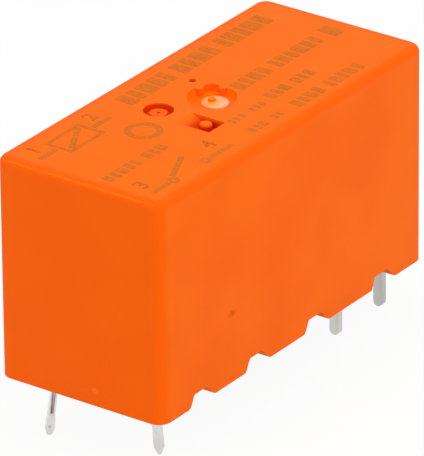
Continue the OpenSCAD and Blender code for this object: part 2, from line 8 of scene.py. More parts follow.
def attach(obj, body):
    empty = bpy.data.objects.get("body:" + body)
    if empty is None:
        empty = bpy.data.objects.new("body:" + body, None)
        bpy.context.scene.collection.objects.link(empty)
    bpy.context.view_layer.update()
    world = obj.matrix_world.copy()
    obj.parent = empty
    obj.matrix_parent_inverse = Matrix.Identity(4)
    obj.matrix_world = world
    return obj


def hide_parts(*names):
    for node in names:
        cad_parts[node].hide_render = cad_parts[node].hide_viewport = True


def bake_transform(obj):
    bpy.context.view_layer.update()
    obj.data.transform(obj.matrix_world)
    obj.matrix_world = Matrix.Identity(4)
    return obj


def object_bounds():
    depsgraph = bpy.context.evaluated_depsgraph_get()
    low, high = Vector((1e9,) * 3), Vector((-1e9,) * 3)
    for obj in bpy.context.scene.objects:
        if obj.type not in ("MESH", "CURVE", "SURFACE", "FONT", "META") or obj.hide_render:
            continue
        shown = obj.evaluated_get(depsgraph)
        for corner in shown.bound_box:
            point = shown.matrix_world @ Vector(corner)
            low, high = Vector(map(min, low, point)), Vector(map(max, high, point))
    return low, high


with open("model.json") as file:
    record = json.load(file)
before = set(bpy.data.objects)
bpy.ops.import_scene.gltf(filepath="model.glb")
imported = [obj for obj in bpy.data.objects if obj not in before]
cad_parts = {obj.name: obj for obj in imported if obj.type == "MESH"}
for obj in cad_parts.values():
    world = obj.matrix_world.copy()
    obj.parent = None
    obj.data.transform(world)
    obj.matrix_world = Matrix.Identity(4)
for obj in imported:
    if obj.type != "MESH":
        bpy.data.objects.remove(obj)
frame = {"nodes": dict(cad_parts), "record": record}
cadBox = [list(corner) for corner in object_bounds()]  # box of the solids, before any piece is added
nodes = frame["nodes"]
record = frame["record"]
slotOf = {part["node"]: part["material_slot"] for part in record["subparts"]}
bodyOf = {node: body for body, members in record["behaviour"]["bodies"].items() for node in members}
mm = 0.001
weld = 0.0005 * mm        # points closer than this are one
fineWeld = 0.0002 * mm
flush = 0.001             # mm within which points count as level
crease = math.radians(30)  # sharper edges are rounded or shaded sharp
print("frame loaded:", len(nodes), "solids")


# camera and studio

cameraSpec = {
    "azimuth": -54.28,       # degrees round the part
    "elevation": 26.18,      # degrees above the board
    "roll": -0.56,
    "distance": 480.4,       # mm from the aim
    "aim": (-0.6, -0.29, 6.91),
    "focalPixels": 7568.6,   # focal length in pixels of the picture
    "longSide": 456,         # pixels along the picture's long side
    "sensor": 36.0,
    "clip": (0.01, 20),      # metres
}


def makeCamera():
    spec = cameraSpec
    turn = math.radians(spec["azimuth"])
    lift = math.radians(spec["elevation"])
    back = Vector((math.sin(turn) * math.cos(lift), -math.cos(turn) * math.cos(lift), math.sin(lift)))
    data = bpy.data.cameras.new("photoCamera")
    data.sensor_width = spec["sensor"]
    data.lens = spec["focalPixels"] / spec["longSide"] * spec["sensor"]
    data.clip_start, data.clip_end = spec["clip"]
    camera = bpy.data.objects.new("photoCamera", data)
    bpy.context.scene.collection.objects.link(camera)
    place = Vector(spec["aim"]) * mm + back * spec["distance"] * mm
    look = back.to_track_quat("Z", "Y").to_matrix().to_4x4()
    roll = Matrix.Rotation(math.radians(spec["roll"]), 4, "Z")
    camera.matrix_world = Matrix.Translation(place) @ look @ roll
    bpy.context.scene.camera = camera


studioSpec = {
    "zenith": 0.66,          # light from overhead
    "horizon": 0.30,         # dimmer light from the walls
    "zenithFrom": 0.45,      # height from which the light is full
    "floorSize": 3.0,        # metres
    "floorTone": 0.86,
    "floorGlow": 0.94,       # share of plain white that the camera sees on the floor
    # name: (place in mm, size in mm, watts)
    "lamps": {
        "topBox": ((-20, -30, 280), 240, 0.32),
        "sideBox": ((60, -330, 120), 240, 0.30),
        "endBox": ((-330, 40, 110), 220, 0.20),
    },
}


def seenDirectly(tree):
    path = tree.nodes.new("ShaderNodeLightPath")  # what the camera, metal and clear pieces see
    seen = mathNode(tree, "MAXIMUM", path.outputs["Is Camera Ray"], path.outputs["Is Glossy Ray"])
    return mathNode(tree, "MAXIMUM", seen, path.outputs["Is Transmission Ray"])


def makeWorld():
    spec = studioSpec
    world = bpy.data.worlds.new("softRoom")
    bpy.context.scene.world = world
    world.use_nodes = True
    tree = world.node_tree
    tree.nodes.clear()
    output = tree.nodes.new("ShaderNodeOutputWorld")
    room = tree.nodes.new("ShaderNodeBackground")
    white = tree.nodes.new("ShaderNodeBackground")
    mix = tree.nodes.new("ShaderNodeMixShader")
    coords = tree.nodes.new("ShaderNodeTexCoord")
    split = tree.nodes.new("ShaderNodeSeparateXYZ")
    tree.links.new(coords.outputs["Generated"], split.inputs[0])
    level = rangeNode(tree, split.outputs["Z"], 0.0, spec["zenithFrom"], spec["horizon"], spec["zenith"])
    room.inputs["Color"].default_value = (1, 1, 1, 1)
    tree.links.new(level, room.inputs["Strength"])
    white.inputs["Color"].default_value = (1, 1, 1, 1)
    white.inputs["Strength"].default_value = 1
    tree.links.new(seenDirectly(tree), mix.inputs["Fac"])
    tree.links.new(room.outputs[0], mix.inputs[1])
    tree.links.new(white.outputs[0], mix.inputs[2])
    tree.links.new(mix.outputs[0], output.inputs["Surface"])


def makeLamps():
    aim = Vector(cameraSpec["aim"]) * mm
    for name, (place, size, watts) in studioSpec["lamps"].items():
        data = bpy.data.lights.new(name, "AREA")
        data.size = size * mm
        data.energy = watts
        lamp = bpy.data.objects.new(name, data)
        bpy.context.scene.collection.objects.link(lamp)
        spot = Vector(place) * mm
        turn = (spot - aim).to_track_quat("Z", "Y").to_matrix().to_4x4()
        lamp.matrix_world = Matrix.Translation(spot) @ turn


def floorMaterial():
    tone = studioSpec["floorTone"]
    material = bpy.data.materials.new("paleFloor")
    material.use_nodes = True
    tree = material.node_tree
    tree.nodes.clear()
    output = tree.nodes.new("ShaderNodeOutputMaterial")
    matte = tree.nodes.new("ShaderNodeBsdfDiffuse")
    glow = tree.nodes.new("ShaderNodeEmission")
    clear = tree.nodes.new("ShaderNodeBsdfTransparent")
    lit = tree.nodes.new("ShaderNodeMixShader")
    oneSided = tree.nodes.new("ShaderNodeMixShader")
    geometry = tree.nodes.new("ShaderNodeNewGeometry")
    matte.inputs["Color"].default_value = (tone, tone, tone, 1)
    glow.inputs["Strength"].default_value = 1
    shown = mathNode(tree, "MULTIPLY", seenDirectly(tree), studioSpec["floorGlow"])
    tree.links.new(shown, lit.inputs["Fac"])
    tree.links.new(matte.outputs[0], lit.inputs[1])
    tree.links.new(glow.outputs[0], lit.inputs[2])
    tree.links.new(geometry.outputs["Backfacing"], oneSided.inputs["Fac"])  # clear from below
    tree.links.new(lit.outputs[0], oneSided.inputs[1])
    tree.links.new(clear.outputs[0], oneSided.inputs[2])
    tree.links.new(oneSided.outputs[0], output.inputs["Surface"])
    return material


def makeFloor():
    bm = bmesh.new()
    bmesh.ops.create_grid(bm, x_segments=1, y_segments=1, size=studioSpec["floorSize"] / 2)
    bmesh.ops.translate(bm, verts=bm.verts, vec=(0, 0, cadBox[0][2]))  # the longest pin stands on it
    floor = objectFrom(bm, "paleFloor")
    floor.data.materials.append(floorMaterial())


# helpers

def objectFrom(bm, name):
    mesh = bpy.data.meshes.new(name)
    bm.to_mesh(mesh)
    bm.free()
    piece = bpy.data.objects.new(name, mesh)
    bpy.context.scene.collection.objects.link(piece)
    return piece


def meshFrom(piece):
    return bpy.data.meshes.new_from_object(piece.evaluated_get(bpy.context.evaluated_depsgraph_get()))


def meshFromCurve(curve):
    drawn = bpy.data.objects.new(curve.name + "Path", curve)
    bpy.context.scene.collection.objects.link(drawn)
    mesh = meshFrom(drawn)
    bpy.data.objects.remove(drawn)
    bpy.data.curves.remove(curve)
    return mesh


def smoothFaces(piece):
    for face in piece.data.polygons:
        face.use_smooth = True


def finishPiece(piece, node, material=None):
    piece.data.materials.clear()
    piece.data.materials.append(material or finishes[slotOf[node]])


def standFor(piece, node, material=None):
    finishPiece(piece, node, material)
    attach(piece, bodyOf[node])
    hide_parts(node)


def softEdges(piece, width, segments=3):
    bevel = piece.modifiers.new("softEdges", "BEVEL")  # small moulded or pressed radius
    bevel.width = width * mm
    bevel.segments = segments
    bevel.limit_method = "ANGLE"
    bevel.angle_limit = crease
    bevel.harden_normals = True
    smoothFaces(piece)


def carve(piece, cutter, operation="DIFFERENCE"):
    boolean = piece.modifiers.new("carve", "BOOLEAN")
    boolean.object = cutter
    boolean.operation = operation
    boolean.solver = "EXACT"
    old = piece.data
    mesh = meshFrom(piece)
    piece.modifiers.clear()
    piece.data = mesh
    mesh.name = piece.name
    bpy.data.meshes.remove(old)
    bpy.data.objects.remove(cutter)


def newVerts(made):
    return [part for part in made["geom"] if isinstance(part, bmesh.types.BMVert)]


def extrudeWhole(bm, move):
    moved = newVerts(bmesh.ops.extrude_face_region(bm, geom=bm.faces[:]))
    bmesh.ops.translate(bm, verts=moved, vec=Vector(move) * mm)
    bmesh.ops.recalc_face_normals(bm, faces=bm.faces)


def roundOff(bm, geom, offset, segments, affect="EDGES"):
    bmesh.ops.bevel(bm, geom=geom, offset=offset * mm, segments=segments, profile=0.5, affect=affect,
                    material=-1)


def edgesAbove(bm, z):
    return [e for e in bm.edges if all(v.co.z > (z - flush) * mm for v in e.verts)]


def boxAt(size, centre):
    bm = bmesh.new()
    bmesh.ops.create_cube(bm, size=1)
    bmesh.ops.scale(bm, verts=bm.verts, vec=[value * mm for value in size])
    bmesh.ops.translate(bm, verts=bm.verts, vec=[value * mm for value in centre])
    return bm


def spinAround(places, centre, axis, steps, closed=False):
    bm = bmesh.new()
    verts = [bm.verts.new(place) for place in places]
    others = verts[1:] + verts[:1] if closed else verts[1:]
    edges = [bm.edges.new(pair) for pair in zip(verts, others)]
    bmesh.ops.spin(bm, geom=verts + edges, cent=centre, axis=axis, angle=math.tau, steps=steps,
                   use_merge=True)
    bmesh.ops.remove_doubles(bm, verts=bm.verts, dist=weld)
    return bm


# shared shader groups

def newGroup(name, inputs, outputs):
    group = bpy.data.node_groups.new(name, "ShaderNodeTree")
    for label, kind, value in inputs:
        socket = group.interface.new_socket(label, in_out="INPUT", socket_type=kind)
        if value is not None:
            socket.default_value = value
    for label, kind in outputs:
        group.interface.new_socket(label, in_out="OUTPUT", socket_type=kind)
    return group, group.nodes.new("NodeGroupInput"), group.nodes.new("NodeGroupOutput")


def mathNode(tree, operation, first, second=None, clamp=False):
    node = tree.nodes.new("ShaderNodeMath")
    node.operation = operation
    node.use_clamp = clamp
    for socket, value in zip(node.inputs, (first, second)):
        if isinstance(value, (int, float)):
            socket.default_value = value
        elif value is not None:
            tree.links.new(value, socket)
    return node.outputs[0]


def rangeNode(tree, value, low, high, outLow=0.0, outHigh=1.0):
    node = tree.nodes.new("ShaderNodeMapRange")
    node.interpolation_type = "SMOOTHSTEP"
    for label, number in (("From Min", low), ("From Max", high), ("To Min", outLow), ("To Max", outHigh)):
        node.inputs[label].default_value = number
    tree.links.new(value, node.inputs["Value"])
    return node.outputs["Result"]


def noiseNode(tree, vector, scale, detail=3.0, roughness=0.55):
    node = tree.nodes.new("ShaderNodeTexNoise")
    node.inputs["Detail"].default_value = detail
    node.inputs["Roughness"].default_value = roughness
    if isinstance(scale, (int, float)):
        node.inputs["Scale"].default_value = scale
    else:
        tree.links.new(scale, node.inputs["Scale"])
    tree.links.new(vector, node.inputs["Vector"])
    return node.outputs["Fac"]


def vectorNode(tree, operation, first, second=None):
    node = tree.nodes.new("ShaderNodeVectorMath")
    node.operation = operation
    for socket, value in zip(node.inputs, (first, second)):
        if isinstance(value, Vector):
            socket.default_value = value
        elif value is not None:
            tree.links.new(value, socket)
    return node


def nearMask(tree, vector, place, radius, fade, strength=1.0, stretch=None):
    place = Vector(place)
    if stretch:  # a mask wider in one direction: both places are squeezed alike
        vector = vectorNode(tree, "MULTIPLY", vector, Vector(stretch)).outputs["Vector"]
        place = place * Vector(stretch)
    gap = vectorNode(tree, "DISTANCE", vector, place * mm).outputs["Value"]
    return rangeNode(tree, gap, radius * mm, (radius + fade) * mm, strength, 0.0)


def lineMask(tree, vector, start, along, length, radius, fade):
    offset = vectorNode(tree, "SUBTRACT", vector, start * mm).outputs["Vector"]
    reach = vectorNode(tree, "DOT_PRODUCT", offset, along).outputs["Value"]
    foot = vectorNode(tree, "SCALE", along)
    tree.links.new(reach, foot.inputs["Scale"])
    gap = vectorNode(tree, "DISTANCE", offset, foot.outputs["Vector"]).outputs["Value"]
    near = rangeNode(tree, gap, radius * mm, (radius + fade) * mm, 1.0, 0.0)
    begun = rangeNode(tree, reach, -fade * mm, fade * mm)
    ended = rangeNode(tree, reach, (length - fade) * mm, (length + fade) * mm, 1.0, 0.0)
    return mathNode(tree, "MULTIPLY", near, mathNode(tree, "MULTIPLY", begun, ended))


def largest(tree, *values):
    top = values[0]
    for value in values[1:]:
        top = mathNode(tree, "MAXIMUM", top, value)
    return top


def mixColor(tree, factor, first, second):
    node = tree.nodes.new("ShaderNodeMix")
    node.data_type = "RGBA"
    tree.links.new(factor, node.inputs["Factor"])
    for label, value in (("A", first), ("B", second)):
        socket = [s for s in node.inputs if s.name == label and s.type == "RGBA"][0]
        if isinstance(value, (tuple, list)):
            socket.default_value = (*value, 1)
        else:
            tree.links.new(value, socket)
    return [s for s in node.outputs if s.type == "RGBA"][0]


grainSpec = {
    "grain": 9000.0,          # scales for a piece that gives none
    "flow": 160.0,
    "grainShare": 0.35,       # of the height
    "tone": (0.3, 0.7),       # noise between which the tone runs
    "sheen": (0.25, 0.75),
}


def buildMouldGrain():
    spec = grainSpec
    inputs = (("Vector", "NodeSocketVector", None), ("Grain Scale", "NodeSocketFloat", spec["grain"]),
              ("Flow Scale", "NodeSocketFloat", spec["flow"]))
    outputs = (("Height", "NodeSocketFloat"), ("Tone", "NodeSocketFloat"), ("Sheen", "NodeSocketFloat"))
    group, source, sink = newGroup("mouldGrain", inputs, outputs)
    grain = noiseNode(group, source.outputs["Vector"], source.outputs["Grain Scale"], 2.0)
    flow = noiseNode(group, source.outputs["Vector"], source.outputs["Flow Scale"], 3.0, 0.5)
    height = mathNode(group, "ADD", mathNode(group, "MULTIPLY", grain, spec["grainShare"]), flow)
    group.links.new(height, sink.inputs["Height"])
    group.links.new(rangeNode(group, flow, *spec["tone"]), sink.inputs["Tone"])
    group.links.new(rangeNode(group, grain, *spec["sheen"]), sink.inputs["Sheen"])
    return group


speckSpec = {
    "scale": 500.0,
    "size": 0.12,
    "fade": 0.06,
    "patches": 220.0,         # scale of the patches that have specks
    "patchNoise": (0.58, 0.68),
}


def buildSpecks():
    spec = speckSpec
    inputs = (("Vector", "NodeSocketVector", None), ("Scale", "NodeSocketFloat", spec["scale"]),
              ("Size", "NodeSocketFloat", spec["size"]))
    group, source, sink = newGroup("fineSpecks", inputs, (("Mask", "NodeSocketFloat"),))
    cells = group.nodes.new("ShaderNodeTexVoronoi")
    group.links.new(source.outputs["Vector"], cells.inputs["Vector"])
    group.links.new(source.outputs["Scale"], cells.inputs["Scale"])
    inside = mathNode(group, "SUBTRACT", source.outputs["Size"], cells.outputs["Distance"])
    spread = noiseNode(group, source.outputs["Vector"], spec["patches"], 2.0)
    some = rangeNode(group, spread, *spec["patchNoise"])
    mask = mathNode(group, "MULTIPLY", rangeNode(group, inside, 0.0, spec["fade"]), some, True)
    group.links.new(mask, sink.inputs["Mask"])
    return group


rolledSpec = {
    "stretch": (1, 1, 0.06),  # for metal rolled along its height
    "scale": 9000.0,
    "cloud": 700.0,
    "share": 0.5,             # of lines and cloud alike
    "tone": (0.3, 0.7),
}


def buildRolledGrain():
    spec = rolledSpec
    inputs = (("Vector", "NodeSocketVector", None), ("Stretch", "NodeSocketVector", spec["stretch"]),
              ("Scale", "NodeSocketFloat", spec["scale"]))
    outputs = (("Height", "NodeSocketFloat"), ("Tone", "NodeSocketFloat"))
    group, source, sink = newGroup("rolledGrain", inputs, outputs)
    stretched = vectorNode(group, "MULTIPLY", source.outputs["Vector"], source.outputs["Stretch"])
    lines = noiseNode(group, stretched.outputs["Vector"], source.outputs["Scale"], 3.0, 0.6)
    cloud = noiseNode(group, source.outputs["Vector"], spec["cloud"], 3.0)
    group.links.new(lines, sink.inputs["Height"])
    tone = mathNode(group, "ADD", mathNode(group, "MULTIPLY", lines, spec["share"]),
                    mathNode(group, "MULTIPLY", cloud, spec["share"]))
    group.links.new(rangeNode(group, tone, *spec["tone"]), sink.inputs["Tone"])
    return group


mouldGrain = buildMouldGrain()
fineSpecks = buildSpecks()
rolledGrain = buildRolledGrain()


def newMaterial(name):
    material = bpy.data.materials.new(name)
    material.use_nodes = True
    tree = material.node_tree
    principled = tree.nodes["Principled BSDF"]
    coords = tree.nodes.new("ShaderNodeTexCoord")
    return material, tree, principled, coords.outputs["Object"]


def useGroup(tree, group, vector, **values):
    node = tree.nodes.new("ShaderNodeGroup")
    node.node_tree = group
    tree.links.new(vector, node.inputs["Vector"])
    for label, value in values.items():
        node.inputs[label.replace("_", " ")].default_value = value
    return node.outputs


def addBump(tree, principled, height, strength, distance):
    bump = tree.nodes.new("ShaderNodeBump")
    bump.inputs["Strength"].default_value = strength
    bump.inputs["Distance"].default_value = distance * mm
    tree.links.new(height, bump.inputs["Height"])
    tree.links.new(bump.outputs["Normal"], principled.inputs["Normal"])


def mouldSurface(tree, principled, vector, surface, glossBy="Sheen"):
    mould = useGroup(tree, mouldGrain, vector, Grain_Scale=surface["grain"], Flow_Scale=surface["flow"])
    gloss = rangeNode(tree, mould[glossBy], 0, 1, *surface["roughness"])
    tree.links.new(gloss, principled.inputs["Roughness"])
    principled.inputs["Specular IOR Level"].default_value = surface["specular"]
    addBump(tree, principled, mould["Height"], *surface["bump"])
    return mould, gloss


# slot: name, dark and light tone, specks, roughness
plasticFinishes = {
    "base_plastic": ("blackBase", (0.012, 0.012, 0.014), (0.028, 0.028, 0.03), (0.06, 0.06, 0.065),
                     (0.45, 0.58)),
    "bobbin_plastic": ("ivoryBobbin", (0.72, 0.68, 0.55), (0.82, 0.79, 0.68), (0.62, 0.56, 0.42),
                       (0.40, 0.53)),
    "card_plastic": ("ivoryCard", (0.80, 0.77, 0.67), (0.88, 0.85, 0.77), (0.70, 0.65, 0.52),
                     (0.35, 0.48)),
}
plasticSurface = {"grain": 9000.0, "flow": 160.0, "specular": 0.4, "bump": (0.12, 0.01)}
plasticSpecks = {"Scale": 900.0, "Size": 0.1}


def plasticMaterial(name, dark, light, specks, roughness):
    material, tree, principled, vector = newMaterial(name)
    mould, _ = mouldSurface(tree, principled, vector, {**plasticSurface, "roughness": roughness})
    dots = useGroup(tree, fineSpecks, vector, **plasticSpecks)
    color = mixColor(tree, dots["Mask"], mixColor(tree, mould["Tone"], dark, light), specks)
    tree.links.new(color, principled.inputs["Base Color"])
    return material


# slot: name, dark and light tone, roughness at each, then the grain's stretch and bump if they differ
metalFinishes = {
    "copper_wire": ("enamelCopper", (0.42, 0.11, 0.035), (0.62, 0.20, 0.07), (0.40, 0.26)),
    "soft_iron": ("platedIron", (0.42, 0.43, 0.44), (0.58, 0.58, 0.58), (0.44, 0.30), (0.06, 1, 1)),
    "tinned_pin": ("tinnedCopper", (0.555, 0.538, 0.495), (0.64, 0.622, 0.578), (0.44, 0.30), (1, 1, 0.03),
                   0.03),
    "spring_bronze": ("rolledBronze", (0.66, 0.36, 0.15), (0.78, 0.47, 0.22), (0.38, 0.24)),
    "rivet_brass": ("pressedBrass", (0.58, 0.40, 0.15), (0.70, 0.52, 0.24), (0.36, 0.22)),
    "contact_silver": ("contactSilver", (0.76, 0.75, 0.72), (0.88, 0.87, 0.84), (0.30, 0.16)),
}
grainDepth = 0.004            # mm, of the metals' rolled grain


def metalMaterial(name, dark, light, roughness, stretch=rolledSpec["stretch"], bump=0.08):
    material, tree, principled, vector = newMaterial(name)
    rolled = useGroup(tree, rolledGrain, vector, Stretch=stretch)
    tree.links.new(mixColor(tree, rolled["Tone"], dark, light), principled.inputs["Base Color"])
    tree.links.new(rangeNode(tree, rolled["Tone"], 0, 1, *roughness), principled.inputs["Roughness"])
    principled.inputs["Metallic"].default_value = 1
    addBump(tree, principled, rolled["Height"], bump, grainDepth)
    return material


# moulded orange cover

coverSpec = {
    "length": 29.0,
    "width": 12.7,
    "bottom": 0.4,
    "top": 15.69,             # the ink lies on this face
    "rimTop": 15.7,           # recesses are measured from here
    "cornerRadius": 0.9,
    "rimRadius": 0.5,
    "wall": 0.9,
    "innerTop": 14.7,
    "innerRadius": 0.4,
    # place of each notch and half the run of its left side; the right sides are alike
    "notches": ((-10.1, 0.38), (-4.1, 0.38), (2.4, 0.38), (9.9, 0.22)),
    "notchLeft": -1.25,       # middles of the two sides, from the notch's place
    "notchRight": 0.90,
    "notchRun": 0.62,
    "notchHeight": 0.85,
    "notchFoot": 1.6,         # above 1, the foot is rounder than the roof's corner
    "notchSteps": 16,
    "cornerSteps": 8,
    "rimSteps": 6,
    "roundSteps": 64,         # of round recesses and studs
    "studSteps": 5,           # of the rounded edge of a stud
    "past": 1.0,              # cutters reach this far past a face
    "root": 2.0,              # what stands in a recess starts this far below the top
    "edge": 0.045,            # small radius on every sharp edge
}

coverMarks = {
    "ring": {"place": (-3.29, 1.83), "outer": 1.0, "stud": 0.6, "depth": 0.5, "studDrop": 0.2, "dot": 0.125},
    "hole": {"place": (1.46, 2.61), "radius": 0.25, "depth": 0.5},
    "dish": {"place": (0.24, 0.23), "radius": 1.6, "floorRadius": 1.45, "depth": 0.5,
             "pip": 0.25, "pipDrop": 0.12, "pipEdge": 0.08, "ribs": ((0.86, 1.62), (1.75, 0.44)), "rib": 0.27,
             "lobe": (1.21, 0.94), "lobeRadius": 0.62, "lobeDepth": 0.48, "lobePast": 0.9, "lap": 0.01,
             "step": (-0.16, -0.06), "stepRadius": 1.6, "stepFloor": 1.3, "stepDepth": 0.2},
    "pocket": {"place": (-3.32, -1.42), "size": (1.76, 2.6), "depth": 0.6, "shallow": 0.02, "flat": 0.9,
               "stub": 0.415, "stubShift": (0.36, -0.17), "stubDrop": 0.10, "stubEdge": 0.16},
    "bump": {"place": (-14.157, -1.2, 1.45), "radius": 0.4},
    "pit": {"place": (-6.97, -6.48, 5.2), "radius": 0.25, "stretch": (0.55, 1, 1.1)},
}

coverColors = {
    "face": (0.92, 0.128, 0.0012),
    "faceLight": (0.96, 0.146, 0.0022),
    # top and end: painted sheen, the top lighter and the ends more saturated than the sides
    "top": (0.95, 0.158, 0.003),
    "end": (0.96, 0.108, 0.0002),
    # painted: the rounded edges more saturated, without the sheen that the flat faces catch
    "edge": (0.98, 0.118, 0.0003),
    "wearAndGlint": (1.0, 0.185, 0.008),         # painted highlight: a lighter line along the top's end edges
    "deep": (0.72, 0.028, 0.0001),       # painted shade in the hole and pocket
    # painted shade in the ring groove
    "grooveShade": (0.82, 0.046, 0.0002),
    # painted shade on the wall of the wide dish, a clear orange
    "dish": (1.0, 0.185, 0.0006),
    "pip": (1.0, 0.185, 0.001),
    "speck": (0.42, 0.060, 0.002),
    "bump": (1.0, 0.170, 0.006),
}


# start and end in mm from an edge or a face, and the strength at each
coverBands = {
    "upright": (0.48, 0.62, 1.0, 0.0),   # painted: upright edges more saturated, without the flat faces' sheen
    "rim": (0.35, 0.80, 1.0, 0.0),       # painted: edges of the top more saturated, without the flat faces' sheen
    # painted highlight along the top's end edges
    "wearAndGlint": (0.15, 0.23, 0.75, 0.0),
    "face": (0.1, 0.9, 0.6, 0.0),        # painted sheen: lighter top, more saturated ends
    # recess and groove: depths at which the painted recess shade begins and is full
    "recess": (0.05, 0.36, 0.0, 0.95),
    "border": (1.5, 2.2, 0.0, 1.0),      # recesses lie inside the top's border
    "grooveShade": (0.03, 0.15, 0.0, 0.95),
}

# what is added to a mark's radius, the fade beyond it, the strength
coverSpots = {
    "dish": (0.3, 0.1, 1.0),
    "floor": (-0.2, 0.2, 0.8),
    "rib": (0.0, 0.12, 1.0),
    "pip": (0.08, 0.1, 1.0),
    "stub": (0.0, 0.05, 0.85),
    "stud": (-0.06, 0.08, 0.65),
    "ring": (0.1, 0.1, 1.0),
    # darker spot in and round the pit on the side
    "pitDark": (-0.15, 0.28, 0.45),
    "bump": (-0.04, 0.14, 0.9),
}
everyDepth = (1, 1, 0)        # squeezed flat, a mark counts at every depth

coverSurface = {"grain": 7000.0, "flow": 140.0, "roughness": (0.42, 0.55), "specular": 0.05,
                "bump": (0.10, 0.012)}
coverSpecks = {"Scale": 420.0, "Size": 0.07}
coverSpeckStrength = 0.35
recessRoughness = 0.95        # recesses are duller


def coverBand(tree, distance, name):
    low, high, first, last = coverBands[name]
    return rangeNode(tree, distance, low * mm, high * mm, first, last)


def coverSpot(tree, vector, name, place, radius, stretch=None):
    more, fade, strength = coverSpots[name]
    return nearMask(tree, vector, place, radius + more, fade, strength, stretch)


def stubPlace():
    pocket = coverMarks["pocket"]
    return [start + shift for start, shift in zip(pocket["place"], pocket["stubShift"])]


# mask of the painted recess shade: depth below the top, inside the top's border and the ring, less on what
# stands up in a recess
def recessDepth(tree, vector, tops, low, inRing):
    top, ring, dish, pocket = coverSpec["top"], coverMarks["ring"], coverMarks["dish"], coverMarks["pocket"]
    raised = [
        coverSpot(tree, vector, "stub", (*stubPlace(), top - pocket["stubDrop"]), pocket["stub"]),
        coverSpot(tree, vector, "stud", (*ring["place"], 0), ring["stud"], everyDepth),
        coverSpot(tree, vector, "floor", (*dish["place"], 0), dish["floorRadius"], everyDepth),
    ]
    raised += [coverSpot(tree, vector, "rib", (*place, top), dish["rib"]) for place in dish["ribs"]]
    inBorder = coverBand(tree, low, "border")
    deep = mathNode(tree, "MULTIPLY", coverBand(tree, tops, "recess"), inBorder)
    grooveShade = mathNode(tree, "MULTIPLY", coverBand(tree, tops, "grooveShade"), inRing)
    return mathNode(tree, "SUBTRACT", largest(tree, deep, grooveShade), largest(tree, *raised), True)


def coverMaterial():
    spec, colors = coverSpec, coverColors
    ring, dish, pit, bump = [coverMarks[name] for name in ("ring", "dish", "pit", "bump")]
    material, tree, principled, vector = newMaterial("orangeMoulding")
    mould, gloss = mouldSurface(tree, principled, vector, coverSurface)
    split = tree.nodes.new("ShaderNodeSeparateXYZ")
    tree.links.new(vector, split.inputs[0])
    ends = mathNode(tree, "SUBTRACT", spec["length"] / 2 * mm, mathNode(tree, "ABSOLUTE", split.outputs["X"]))
    sides = mathNode(tree, "SUBTRACT", spec["width"] / 2 * mm, mathNode(tree, "ABSOLUTE", split.outputs["Y"]))
    tops = mathNode(tree, "SUBTRACT", spec["top"] * mm, split.outputs["Z"])
    # two of the three distances are small only along an edge
    low = mathNode(tree, "MINIMUM", ends, sides)
    upright = coverBand(tree, largest(tree, ends, sides), "upright")
    rim = coverBand(tree, largest(tree, low, tops), "rim")
    # painted highlight: a lighter line along the top's end edges
    wearAndGlint = coverBand(tree, largest(tree, ends, tops), "wearAndGlint")
    color = mixColor(tree, mould["Tone"], colors["face"], colors["faceLight"])
    # painted sheen: the top a little lighter and the ends more saturated, as the flat top catches more sheen
    # than the ends
    color = mixColor(tree, coverBand(tree, tops, "face"), color, colors["top"])
    color = mixColor(tree, coverBand(tree, ends, "face"), color, colors["end"])
    # painted: rounded edges more saturated, without the sheen of the flat faces
    color = mixColor(tree, largest(tree, rim, upright), color, colors["edge"])
    color = mixColor(tree, wearAndGlint, color, colors["wearAndGlint"])
    # painted shade: recesses in the top are painted a deeper red by their depth, and the wall of the wide
    # dish a clear orange
    middle = spec["top"] - dish["depth"] / 2
    inDish = coverSpot(tree, vector, "dish", (*dish["place"], middle), dish["radius"])
    inRing = coverSpot(tree, vector, "ring", (*ring["place"], 0), ring["outer"], everyDepth)
    depth = recessDepth(tree, vector, tops, low, inRing)
    inside = mixColor(tree, inDish, colors["deep"], colors["dish"])
    color = mixColor(tree, depth, color, mixColor(tree, inRing, inside, colors["grooveShade"]))
    onPip = coverSpot(tree, vector, "pip", (*dish["place"], spec["top"] - dish["pipDrop"]), dish["pip"])
    color = mixColor(tree, onPip, color, colors["pip"])
    dots = useGroup(tree, fineSpecks, vector, **coverSpecks)
    specks = mathNode(tree, "MULTIPLY", dots["Mask"], coverSpeckStrength)
    color = mixColor(tree, specks, color, colors["speck"])
    # darker spot in and round the pit on the side
    pitDark = coverSpot(tree, vector, "pitDark", pit["place"], pit["radius"], pit["stretch"])
    color = mixColor(tree, pitDark, color, colors["speck"])
    pale = coverSpot(tree, vector, "bump", bump["place"], bump["radius"])
    color = mixColor(tree, pale, color, colors["bump"])
    tree.links.new(color, principled.inputs["Base Color"])
    dull = mathNode(tree, "MULTIPLY", depth, recessRoughness)
    tree.links.new(largest(tree, gloss, dull), principled.inputs["Roughness"])
    return material


def roundedBox(size, bottom, top, corner, rim=0.0):
    bm = boxAt((*size, top - bottom), (0, 0, (top + bottom) / 2))
    upright = [e for e in bm.edges if abs(e.verts[0].co.z - e.verts[1].co.z) > flush * mm]
    roundOff(bm, upright, corner, coverSpec["cornerSteps"])
    if rim:
        roundOff(bm, edgesAbove(bm, top), rim, coverSpec["rimSteps"])
    bmesh.ops.recalc_face_normals(bm, faces=bm.faces)
    return objectFrom(bm, "roundedBox")


def roundCutter(place, radius, low, high, lowRadius=None, edge=0.0):
    bm = bmesh.new()
    lowRadius = radius if lowRadius is None else lowRadius
    bmesh.ops.create_cone(bm, cap_ends=True, segments=coverSpec["roundSteps"], radius1=lowRadius * mm,
                          radius2=radius * mm, depth=(high - low) * mm)
    bmesh.ops.translate(bm, verts=bm.verts, vec=(place[0] * mm, place[1] * mm, (low + high) / 2 * mm))
    if edge:
        roundOff(bm, edgesAbove(bm, high), edge, coverSpec["studSteps"])
    return objectFrom(bm, "roundCutter")


def ballAt(place, radius):
    bm = bmesh.new()
    bmesh.ops.create_uvsphere(bm, u_segments=32, v_segments=20, radius=radius * mm)
    bmesh.ops.translate(bm, verts=bm.verts, vec=Vector(place) * mm)
    return objectFrom(bm, "ball")


